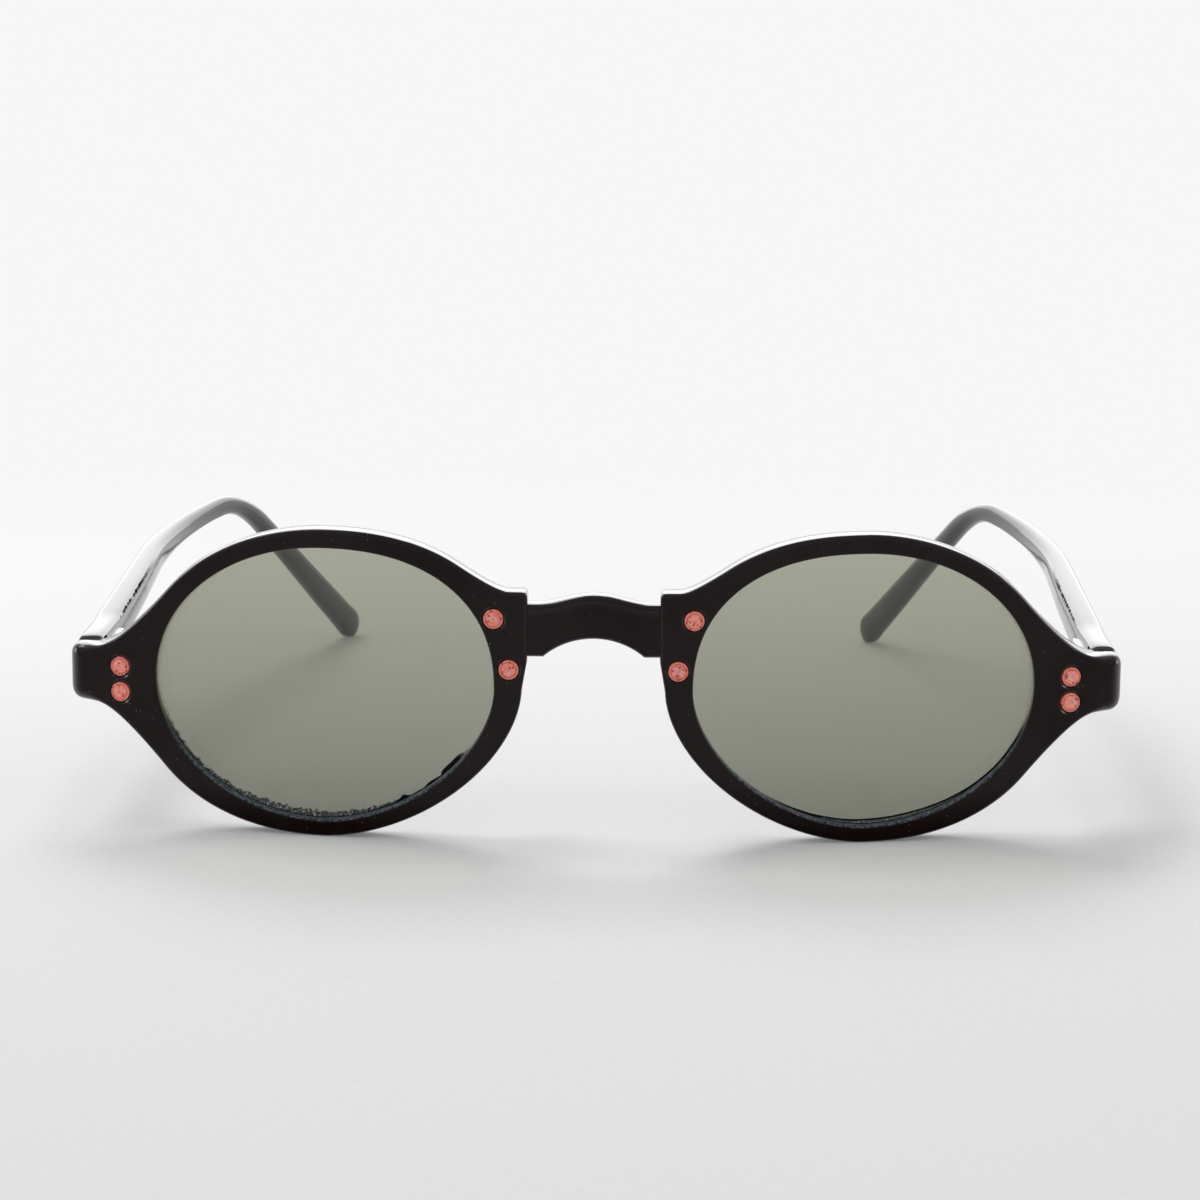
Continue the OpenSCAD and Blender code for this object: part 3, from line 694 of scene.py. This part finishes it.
# Materials: a socket with Python's operators, and one method for every other node
class Socket:
    """An output of a node. An expression on it adds the Math nodes that work it out."""

    def __init__(self, finish, out):
        self.finish, self.out = finish, out

    def math(self, operation, *others, swapped=False):
        values = (*others, self) if swapped else (self, *others)
        return self.finish.node("Math", {"operation": operation}, dict(enumerate(values)))

    def __add__(self, other):
        return self.math("ADD", other)

    def __radd__(self, other):
        return self.math("ADD", other, swapped=True)

    def __sub__(self, other):
        return self.math("SUBTRACT", other)

    def __rsub__(self, other):
        return self.math("SUBTRACT", other, swapped=True)

    def __mul__(self, other):
        return self.math("MULTIPLY", other)

    def __rmul__(self, other):
        return self.math("MULTIPLY", other, swapped=True)

    def __truediv__(self, other):
        return self.math("DIVIDE", other)

    def __rtruediv__(self, other):
        return self.math("DIVIDE", other, swapped=True)

    def __abs__(self):
        return self.math("ABSOLUTE")

    def __gt__(self, other):
        return self.math("GREATER_THAN", other)

    def __lt__(self, other):
        return self.math("LESS_THAN", other)

    def at_most_one(self):
        return self.math("MINIMUM", 1.0)

    def step(self, low, high):
        """Rises smoothly from 0 at low to 1 at high."""
        return self.finish.node("MapRange", {"interpolation_type": "SMOOTHSTEP"},
                                {"Value": self, "From Min": low, "From Max": high})

    def between(self, low, high, soft):
        """1 from low to high, falling to 0 on both sides."""
        return self.step(low - soft, low) * (1 - self.step(high, high + soft))

    def beside(self, output):
        """Another output of the same node."""
        return Socket(self.finish, self.out.node.outputs[output])


class Finish:
    """The nodes of a material or of the world, with patterns in millimetres on a piece's own place."""

    def __init__(self, data):
        self.data = data
        data.use_nodes = True
        self.tree = data.node_tree
        self.tree.nodes.clear()

    def node(self, kind, settings=None, sockets=None, output=0):
        """Adds a node of one type, sets it up, fills its sockets, and gives one of its outputs."""
        made = self.tree.nodes.new(f"ShaderNode{kind}")
        for key, value in (settings or {}).items():
            setattr(made, key, value)
        for key, value in (sockets or {}).items():
            if isinstance(value, Socket):
                self.tree.links.new(value.out, made.inputs[key])
            else:
                made.inputs[key].default_value = value
        return Socket(self, made.outputs[output]) if made.outputs else None

    @cached_property
    def place(self):
        """The piece's own coordinates in millimetres."""
        own = self.node("TexCoord", output="Object")
        return self.node("VectorMath", {"operation": "SCALE"}, {0: own, "Scale": 1 / MM})

    def shifted(self, way):
        """The place, moved, for a second pattern of the same kind."""
        return self.node("VectorMath", {"operation": "ADD"}, {0: self.place, 1: way})

    def axis(self, number):
        """The place on X, Y or Z, which are 0, 1 and 2."""
        return self.node("SeparateXYZ", {}, {0: self.place}, number)

    def stored(self, name):
        """A value that was stored at the points of the piece."""
        return self.node("Attribute", {"attribute_name": name}, {}, "Fac")

    def slant(self):
        """0 where the surface is seen squarely, rising to 1 at its outline."""
        return self.node("LayerWeight", {}, {"Blend": 0.5}, "Facing")

    def turned(self, angles, scale):
        return self.node("Mapping", {}, {"Vector": self.place, "Rotation": angles, "Scale": scale})

    def noise(self, scale, detail=3.0, rough=0.5, place=None):
        return self.node("TexNoise", {}, {"Vector": place or self.place, "Scale": scale,
                                          "Detail": detail, "Roughness": rough}, "Fac")

    def mix(self, share, a, b):
        """One colour over another. A colour is red, green and blue, or a socket."""
        return self.node("Mix", {"data_type": "RGBA"}, {0: share, 6: filled(a), 7: filled(b)}, 2)

    def layered(self, share, under, over):
        """One shader over another."""
        return self.node("MixShader", {}, {0: share, 1: under, 2: over})

    def scratches(self, angle, width):
        """Thin lines in one direction: the narrow middle band of a long, drawn-out noise."""
        drawn = self.turned((angle * 0.7, angle, angle * 1.3), (0.35, 0.35, 6.0))
        return 1 - abs(self.noise(0.9, 2.0, 0.6, drawn) - 0.5).step(0.0, width)

    def specks(self, scale, size, share):
        """Round grains of dust: the middles of some of the cells of a random pattern."""
        distance = self.node("TexVoronoi", {}, {"Vector": self.place, "Scale": scale}, "Distance")
        chosen = self.node("SeparateColor", {}, {"Color": distance.beside("Color")}) < share
        return (1 - distance.step(size * 0.6, size)) * chosen

    def bump(self, height, strength):
        return self.node("Bump", {}, {"Height": height, "Strength": strength, "Distance": 0.2 * MM})

    def skin(self, colour, rough, relief=None, shine=0.5, metal=0.0):
        """The one shader of most finishes."""
        sockets = {"Base Color": filled(colour), "Roughness": rough, "Specular IOR Level": shine,
                   "Metallic": metal, **({"Normal": relief} if relief else {})}
        return self.node("BsdfPrincipled", {}, sockets)

    def surface(self, shader):
        """Ends the nodes with the material's output, and gives the material."""
        self.node("OutputMaterial", {}, {"Surface": shader})
        return self.data


def filled(colour):
    """A colour as a socket takes it, with its fourth value."""
    return colour if isinstance(colour, Socket) else (*colour, 1)


def new_finish(name):
    return Finish(bpy.data.materials.new(name))


def scaled(colour, factor):
    return tuple(part * factor for part in colour)


def polished_black(made, black, gloss, glint_and_fluff=0.0):
    """Polished acetate: faint mottling, fine handling scratches and a little dust."""
    scratched, dusty = (0.35, 0.33, 0.33), (0.32, 0.29, 0.28)
    mottle = made.noise(0.12, 4.0, 0.6)
    ripple = made.noise(0.5, 2.0, 0.5)
    lines = made.scratches(0.6, 0.004) * 0.6 + made.scratches(2.1, 0.003) * 0.5
    wear_and_painted_light = (lines * made.noise(0.25, 2.0).step(0.45, 0.62)).at_most_one()
    cloud = made.noise(0.18, 3.0, 0.6).step(0.45, 0.65)
    dust = made.specks(1.1, 0.1, 0.1) + made.specks(1.8, 0.2, 0.16) * cloud * 0.7
    # The dust takes in any fluff and painted highlight that a piece adds, as along the front's creases.
    dust = (dust + glint_and_fluff).at_most_one()
    colour = made.mix(mottle, scaled(black, 0.7), scaled(black, 1.3))
    colour = made.mix(wear_and_painted_light * 0.1, colour, scratched)
    colour = made.mix(dust * 0.4, colour, dusty)
    rough = gloss + mottle * 0.05 + wear_and_painted_light * 0.16 + dust * 0.4
    relief = made.bump(ripple * 0.5 - wear_and_painted_light * 0.12 + dust * 0.3, 0.12)
    return colour, rough, relief


def front_finish():
    """The front: fluff and painted highlight in the creases, less shine low down as painted shade, dull
    patches, a sawn grey lip.
    """
    made = new_finish("front_black")
    x, z = made.axis(0), made.axis(2)
    # A lighter line along the bridge's creases: partly fluff caught there, partly a painted highlight of
    # their rounded edges.
    crease = 1 - abs(abs(x) - CREASE_X - 0.15).step(0.1, 0.5)
    glint_and_fluff = crease * (z > CREASE_Z) * made.noise(3.0, 5.0, 0.9).step(0.4, 0.8) * 0.22
    colour, rough, relief = polished_black(made, (0.0075, 0.002, 0.002), 0.07, glint_and_fluff)
    squarely = made.skin(colour, rough, relief, shine=0.2)
    aslant = made.skin(colour, rough, relief, shine=0.7)
    dull = made.skin(colour, rough + 0.05, relief, shine=0.02)
    away = made.slant()
    patchy = made.noise(0.07, 2.0, 0.5).step(0.4, 0.72)
    # Less shine low down is painted shade, for the darker reflection near the floor; the patches of less
    # shine lie at random.
    shade_and_patches = ((1 - z.step(0.5, 7.0)) * 0.85 + patchy * 0.25).math("MINIMUM", 0.9)
    black = made.layered(away.step(0.1, 0.6), squarely, aslant)
    black = made.layered(shade_and_patches * (1 - away.step(0.2, 0.6)), black, dull)

    dark_saw, pale_saw = (0.012, 0.014, 0.018), (0.17, 0.205, 0.235)
    sawn = made.noise(2.6, 4.0, 0.8).step(0.4, 0.62)
    ground = made.skin(made.mix(sawn, dark_saw, pale_saw), 0.45, made.bump(sawn, 0.3), shine=0.1)
    return made.surface(made.layered(made.stored("lip") * 0.85, black, ground))


def temple_finish():
    """The temples: the same acetate, with a jagged matt black line along the top inner corner, a painted
    dark reflection.
    """
    made = new_finish("temple_black")
    colour, rough, relief = polished_black(made, (0.006, 0.002, 0.0016), 0.09)
    black = made.skin(colour, rough, relief, shine=0.65)
    matt = made.skin((0.004, 0.003, 0.003), 0.8 + made.noise(0.12, 4.0, 0.6) * 0.2, shine=0.0)
    # The matt black line along the top inner corner, near the hinge, is a painted dark reflection of that
    # edge.
    jag = (made.noise(0.8, 4.0, 0.7) - 0.5) * 0.5
    line = (1 - (made.stored("corner") + jag).step(0.2, 0.3)) * (1 - made.axis(1).step(-24.0, -6.0))
    return made.surface(made.layered(line, black, matt))


def copper_finish():
    """Salmon copper: turned rings, a brighter edge, a darker groove and centre, tarnish, tiny pits and
    painted highlights.
    """
    # The pale grain is partly the metal's grain and partly painted glints.
    salmon, deep_salmon, pale_grain_glint = (1.0, 0.3, 0.23), (1.0, 0.21, 0.16), (1.0, 0.62, 0.54)
    turned_dark, highlight_pink, groove_red = (0.55, 0.11, 0.09), (0.86, 0.52, 0.5), (0.45, 0.06, 0.05)
    edge_bright, stain_red, pit_dark = (1.0, 0.29, 0.2), (0.3, 0.03, 0.03), (0.16, 0.02, 0.02)
    made = new_finish("rivet_copper_rings")
    reach = made.stored("reach")
    tarnish = made.noise(1.3, 4.0, 0.65)
    grain = made.noise(3.6, 4.0, 0.7)
    pits = made.specks(2.2, 0.4, 0.42) * reach.step(0.15, 0.3)
    stain = made.noise(1.1, 3.0, 0.6, made.shifted((3.0, 9.0, 1.0))).step(0.55, 0.66)
    stain = stain * (1 - reach.step(1.0, 1.1)) * reach.step(0.25, 0.6)
    # A paler pink middle on some heads is a painted highlight.
    middle_highlight = made.noise(1.7, 3.0, 0.6).step(0.42, 0.62) * (1 - reach.step(0.4, 0.85))
    turned = ((reach * 34.0 + tarnish * 4.0).math("SINE") + 1) / 2
    groove = reach.step(0.86, 0.98) * (1 - reach.step(1.04, 1.12))
    bright_edge = reach.step(1.08, 1.2)
    mark = 1 - reach.step(0.12, 0.3)
    colour = made.mix(tarnish.step(0.35, 0.7), salmon, deep_salmon)
    for share, over in ((grain.step(0.5, 0.62) * 0.5, pale_grain_glint), (turned * 0.08, turned_dark),
                        (middle_highlight * 0.7, highlight_pink), (groove * 0.6 + mark * 0.3, groove_red),
                        (bright_edge * 0.8, edge_bright), (stain * 0.55, stain_red), (pits * 0.8, pit_dark)):
        colour = made.mix(share, colour, over)
    rough = 0.36 + tarnish * 0.16 + pits * 0.2 - bright_edge * 0.08
    height = grain * 0.6 + turned * 0.35 - pits - groove * 0.8
    return made.surface(made.skin(colour, rough, made.bump(height, 0.35), metal=0.3))


def steel_finish(name, bright, gloss, brushed):
    """Nickel or steel: drawn lines along the part, with a few scratches."""
    made = new_finish(name)
    lines = made.noise(2.2, 3.0, 0.6, made.turned((0, 0, 0), brushed))
    tone = made.noise(0.8, 3.0, 0.5)
    scratch = made.scratches(1.0, 0.008)
    colour = made.mix(lines.step(0.3, 0.7), scaled(bright, 0.82), bright)
    rough = gloss + lines * 0.14 + tone * 0.08 + scratch * 0.1
    relief = made.bump(lines * 0.5 - scratch * 0.4, 0.15)
    return made.surface(made.skin(colour, rough, relief, metal=1.0))


def lens_finish():
    """Grey-green tint, deeper below, with the ground edge of each lens showing along its lower part."""
    made = new_finish("lens_grey_green")
    edge = made.stored("edge")
    x, z = made.axis(0), made.axis(2)
    earward, down = abs(x) - LENS_X, LENS_Z - z
    # The right lens has the ragged edge and the left one the striped. Turns go down from the ear side
    ragged_one = x < 0.0
    striped_one = 1 - ragged_one
    turn = down.math("ARCTAN2", earward) * math.degrees(1)
    coarse, fine = made.noise(0.6, 3.0, 0.6) - 0.5, made.noise(2.2, 4.0, 0.75) - 0.5
    ragged = coarse * (0.1 + ragged_one * 0.7) + fine * (0.08 + ragged_one * 1.9)
    below = turn.between(24.0, 118.0, 16.0)
    noseward = turn.between(116.0, 152.0, 8.0) * ragged_one
    reach_in = 0.05 + ragged_one * 0.3 + 0.5 * (1 - abs(turn - 78.0).step(4.0, 50.0))
    band_end = edge + ragged - reach_in

    ground = below * edge.step(0.12, 0.18) * (1 - band_end.step(0.0, 0.06))
    inner = (band_end.between(-0.02, 0.2, 0.04) * striped_one
             + band_end.between(-0.06, 0.0, 0.06) * ragged_one)
    lines = below * (edge.between(0.08, 0.16, 0.04) + inner)
    swell = made.noise(0.3, 2.0, 0.5).step(0.4, 0.6) * (0.05 + ragged_one * 0.4)
    shadow = noseward * edge.step(0.04, 0.08) * (1 - (edge - swell).step(0.2, 0.26))
    dark = (lines + shadow).at_most_one()
    # A pale blue line along the opening's edge, below and on the nose side, is a painted highlight.
    rim_highlight = (below + noseward * 0.8) * edge.between(0.0, 0.06, 0.04) * (1 - dark)

    frost_dark, frost_grey, fleck_white = (0.03, 0.032, 0.04), (0.32, 0.325, 0.335), (0.9, 0.9, 0.88)
    highlight_blue, line_black = (0.2, 0.29, 0.34), (0.004, 0.004, 0.005)
    stripes = ((edge * 30.0 + fine * 5.0).math("SINE") + 1) / 2
    grain = made.noise(3.6, 4.0, 0.8)
    flecks = made.noise(3.2, 3.0, 0.7, made.shifted((7.0, 3.0, 5.0))).step(0.58, 0.63)
    pale = made.mix(grain.step(0.4, 0.62) * 0.35 + stripes * 0.3 * striped_one, frost_dark, frost_grey)
    pale = made.mix(flecks * (0.35 + ragged_one * 0.55), pale, fleck_white)
    pale = made.mix(rim_highlight, pale, highlight_blue)
    frost = made.skin(made.mix(dark, pale, line_black), 0.4 + grain * 0.4, made.bump(grain, 0.4), shine=0.06)

    # On the ear side, a pale thin line and a faint pale band along the bevel are painted highlights of the
    # lens's edge.
    highlight_side = 1 - abs(turn - 4.0).step(46.0, 66.0)
    line = highlight_side * edge.between(0.03, 0.12, 0.05) * (1 - below)
    bevel = highlight_side * (1 - (edge + coarse * 0.3).step(1.3, 1.42)) * edge.step(0.0, 0.05) * 0.06
    yellow_highlight = made.skin(made.mix(grain, (0.5, 0.5, 0.33), (0.68, 0.67, 0.46)), 0.4)

    upper = made.node("BsdfTransparent", {}, {"Color": (0.62, 0.626, 0.562, 1)})
    lower = made.node("BsdfTransparent", {}, {"Color": (0.485, 0.495, 0.443, 1)})
    clear = made.layered(0.5 - down / 36.0, lower, upper)
    marks = made.scratches(0.9, 0.002) * made.noise(0.3, 2.0).step(0.5, 0.7)
    ripple = made.bump(made.noise(0.15, 1.0), 0.05)
    mirror = made.skin((0.9, 0.95, 0.96), 0.03 + marks * 0.2, ripple, metal=1.0)
    seen_squarely = 0.045
    gloss = seen_squarely + made.slant().math("POWER", 5.0) * (1 - seen_squarely)
    dust = made.specks(0.6, 0.05, 0.08)
    glass = made.layered(gloss + marks * 0.03, clear, mirror)
    glass = made.layered(line * 0.75 + bevel, glass, yellow_highlight)
    # This share holds the ground band and dust, and also the painted shadow and painted highlight lines.
    wear_and_painted_light = ground * 0.92 + dark + rim_highlight * 0.8 + dust * 0.4
    return made.surface(made.layered(wear_and_painted_light.at_most_one(), glass, frost))


def paper_finish():
    """Matt white paper with a faint grain, which far behind the glasses shows as plain white."""
    made = new_finish("white_paper")
    tone, grain = 0.76, made.noise(0.9, 5.0, 0.75)
    cloud = made.noise(0.012, 3.0, 0.5)
    shade_of = grain * 0.09 + cloud * 0.015 - 0.0525
    colour = made.mix(shade_of + 0.5, (tone - 0.5,) * 3, (tone + 0.5,) * 3)
    paper = made.skin(colour, 0.9, made.bump(grain, 0.1), shine=0.1)
    seen, mirrored, through = (made.node("LightPath", output=f"Is {kind} Ray")
                               for kind in ("Camera", "Glossy", "Transmission"))
    white = made.node("Emission", {}, {"Color": made.mix(mirrored, (0.93,) * 3, (1.35,) * 3)})
    around = made.node("VectorMath", {"operation": "LENGTH"}, {0: made.place}, "Value")
    far = made.axis(1).step(-30.0, 260.0).math("MAXIMUM", around.step(330.0, 900.0))
    return made.surface(made.layered((seen + mirrored + through).at_most_one() * far, paper, white))


front_black = front_finish()
temple_black = temple_finish()
copper = copper_finish()
nickel = steel_finish("hinge_nickel", (0.66, 0.65, 0.63), 0.2, (0.3, 0.3, 5.0))
screw_metal = steel_finish("screw_bright", (0.76, 0.76, 0.77), 0.12, (4.0, 4.0, 0.4))
wire = steel_finish("core_wire_drawn", (0.6, 0.6, 0.61), 0.3, (4.0, 0.3, 4.0))
tint = lens_finish()

SIDES = ((1, "left"), (-1, "right"))


# The pieces
def add_front():
    """Two rims joined by the bridge, with the rivet holes cut."""
    halves = [finished(f"rim_{name}", half_front(), side) for side, name in SIDES]
    front = finished("front_black_frame", bridge_bar())
    cut(front, halves, "UNION")
    cut(front, [front_holes(f"holes_{name}", side) for side, name in SIDES])
    store(front, "lip", lip)
    dress(front, "front", "black_plastic", front_black, "front_frame")


def add_lens(side, name):
    lens = finished(f"lens_plate_{name}", lens_plate(), side)
    store(lens, "edge", edge_reach)
    dress(lens, "front", "lens_tint", tint, f"lens_{name}")


def add_pad(name):
    pad = softened(f"nose_pad_{name}", f"nose_pad_soft_{name}", PAD_SOFT, 4)
    tuck(pad)
    dress(pad, "front", "black_plastic", front_black, f"nose_pad_{name}")


def add_front_rivets(side, name, kind, rivets):
    """The two rivets of one place, from their X, Z and length."""
    bm = bmesh.new()
    for x, z, length in rivets:
        lathe(bm, rivet_profile(length), into_face(x, z))
    piece = finished(f"{kind}_rivets_copper_{name}", bm, side)
    mark_reach(piece, side, [(x, z) for x, z, _ in rivets], (0, 2))
    dress(piece, "front", "rivet_copper", copper, f"{kind}_rivets_{name}")


def add_hinge(name):
    """The two leaves and the screw, which is in the front's knuckles."""
    leaf = softened(f"hinge_front_leaf_{name}", f"hinge_leaf_nickel_{name}", LEAF_SOFT)
    dress(leaf, "front", "hinge_steel", nickel, f"hinge_front_leaf_{name}")
    screw = softened(f"hinge_screw_{name}", f"hinge_screw_bright_{name}", SCREW_SOFT)
    dress(screw, "front", "screw_steel", screw_metal, f"hinge_screw_{name}")
    leaf = softened(f"hinge_temple_leaf_{name}", f"temple_leaf_nickel_{name}", LEAF_SOFT)
    dress(leaf, f"{name}_temple", "hinge_steel", nickel, f"hinge_temple_leaf_{name}")


def add_temple(side, name):
    """The temple with its holes, its rivets, and the CAD's own core, sealed inside."""
    temple = finished(f"temple_black_{name}", temple_bar(), side)
    cut(temple, [temple_holes(f"temple_holes_{name}", side)])
    mark_corner(temple, side)
    dress(temple, f"{name}_temple", "temple_plastic", temple_black, f"temple_{name}")

    bm = bmesh.new()
    for y in TEMPLE_RIVETS:
        lathe(bm, rivet_profile(TEMPLE_T - LET_IN + LEAF_T + TAIL), temple_place(y))
    rivets = finished(f"temple_rivets_copper_{name}", bm, side)
    mark_reach(rivets, side, [(y - DEPTH_MID, shank_z(y)) for y in TEMPLE_RIVETS], (1, 2))
    dress(rivets, f"{name}_temple", "rivet_copper", copper, f"temple_rivets_{name}")
    paint(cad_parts[f"temple_core_{name}"], wire)


add_front()
for side, name in SIDES:
    add_lens(side, name)
    add_pad(name)
    add_front_rivets(side, name, "nose", [(x, z, RECESS + NOSE_SHANK) for x, z in NOSE_RIVETS])
    add_front_rivets(side, name, "end", [(x, z, end_shank(x)) for x, z in END_RIVETS])
    add_hinge(name)
    add_temple(side, name)

# Stage, in metres: white paper that sweeps up behind the glasses
PAPER_HALF, PAPER_FRONT, PAPER_BACK, PAPER_R, PAPER_TOP = 4.0, -3.0, 3.0, 1.2, 4.0


def backdrop():
    bend = [math.radians(a) for a in range(0, 91, 6)]
    profile = [(PAPER_FRONT, 0.0)]
    profile += [(PAPER_BACK - PAPER_R * (1 - math.sin(a)), PAPER_R * (1 - math.cos(a))) for a in bend]
    profile += [(PAPER_BACK, PAPER_TOP)]
    bm = bmesh.new()
    verts = [bm.verts.new((-PAPER_HALF, y, z)) for y, z in profile]
    edges = [bm.edges.new(pair) for pair in zip(verts, verts[1:])]
    made = bmesh.ops.extrude_edge_only(bm, edges=edges)["geom"]
    new = [v for v in made if isinstance(v, bmesh.types.BMVert)]
    bmesh.ops.translate(bm, vec=(2 * PAPER_HALF, 0, 0), verts=new)
    bmesh.ops.recalc_face_normals(bm, faces=bm.faces)
    if sum(f.normal[2] for f in bm.faces) < 0:
        bmesh.ops.reverse_faces(bm, faces=bm.faces)
    for face in bm.faces:
        face.smooth = True
    piece = as_piece("paper_sweep", bm)
    paint(piece, paper_finish())
    return piece


backdrop()


def lamp(name, place, target, size, watts, casts=True):
    """A soft lamp. One that casts no shadow stands for light from all over a white room."""
    data = bpy.data.lights.new(name, "AREA")
    data.shape = "RECTANGLE"
    data.size, data.size_y = size
    data.energy = watts
    data.use_shadow = casts
    made = bpy.data.objects.new(name, data)
    bpy.context.scene.collection.objects.link(made)
    made.location = place
    made.rotation_euler = (Vector(target) - Vector(place)).to_track_quat("-Z", "Y").to_euler()
    made.visible_camera = False


lamp("key", (-0.15, 0.7, 0.85), (0, 0, 0), (0.6, 0.45), 4.6)
lamp("back", (0, 1, 0.5), (0, 0, 0.02), (1.3, 0.75), 4.2, casts=False)
lamp("wide", (0, 1, 0.55), (0, 0, 0.02), (3.0, 0.9), 1.9, casts=False)
lamp("overhead", (-0.35, 0.15, 0.8), (0, 0, 0), (0.35, 0.35), 1.8)
lamp("strip", (0, -0.7, 0.8), (0, 0, 0.02), (2.0, 0.16), 0.9)
for side, _ in SIDES:
    lamp("side", (1.1 * side, 0.1, 0.35), (0, 0, 0.03), (0.5, 0.6), 3.2, casts=False)


def light_room():
    """White light from all round, brighter in reflections and brighter still as the background."""
    world = bpy.data.worlds.new("studio")
    bpy.context.scene.world = world
    made = Finish(world)
    mirrored, seen = (made.node("LightPath", output=f"Is {kind} Ray")
                      for kind in ("Glossy", "Camera"))
    strength = 0.35 + mirrored * 0.45 + seen * 0.58
    sky = made.node("Background", {}, {"Color": (1, 1, 1, 1), "Strength": strength})
    made.node("OutputWorld", {}, {"Surface": sky})


light_room()

# Camera, fitted to the photograph, in metres and millimetres of lens and sensor
CAMERA_PLACE = (0.00787, -0.48008, 0.10741)
PITCH, YAW, ROLL = math.radians(10.40), math.radians(-0.99), math.radians(0.45)
FOCAL, SENSOR = 98.07, 36.0
ahead = Vector((math.sin(YAW) * math.cos(PITCH), math.cos(YAW) * math.cos(PITCH), -math.sin(PITCH)))
right = Vector((math.cos(YAW), -math.sin(YAW), 0.0))
upward = right.cross(ahead)
right, upward = (right * math.cos(ROLL) + upward * math.sin(ROLL),
                 upward * math.cos(ROLL) - right * math.sin(ROLL))
lens_data = bpy.data.cameras.new("camera")
lens_data.lens, lens_data.sensor_width = FOCAL, SENSOR
lens_data.clip_start, lens_data.clip_end = 0.01, 50.0
camera = bpy.data.objects.new("camera", lens_data)
bpy.context.scene.collection.objects.link(camera)
turn = Matrix((right, upward, -ahead)).transposed().to_4x4()
camera.matrix_world = Matrix.Translation(CAMERA_PLACE) @ turn
bpy.context.scene.camera = camera
bpy.context.scene.view_settings.view_transform = "Standard"
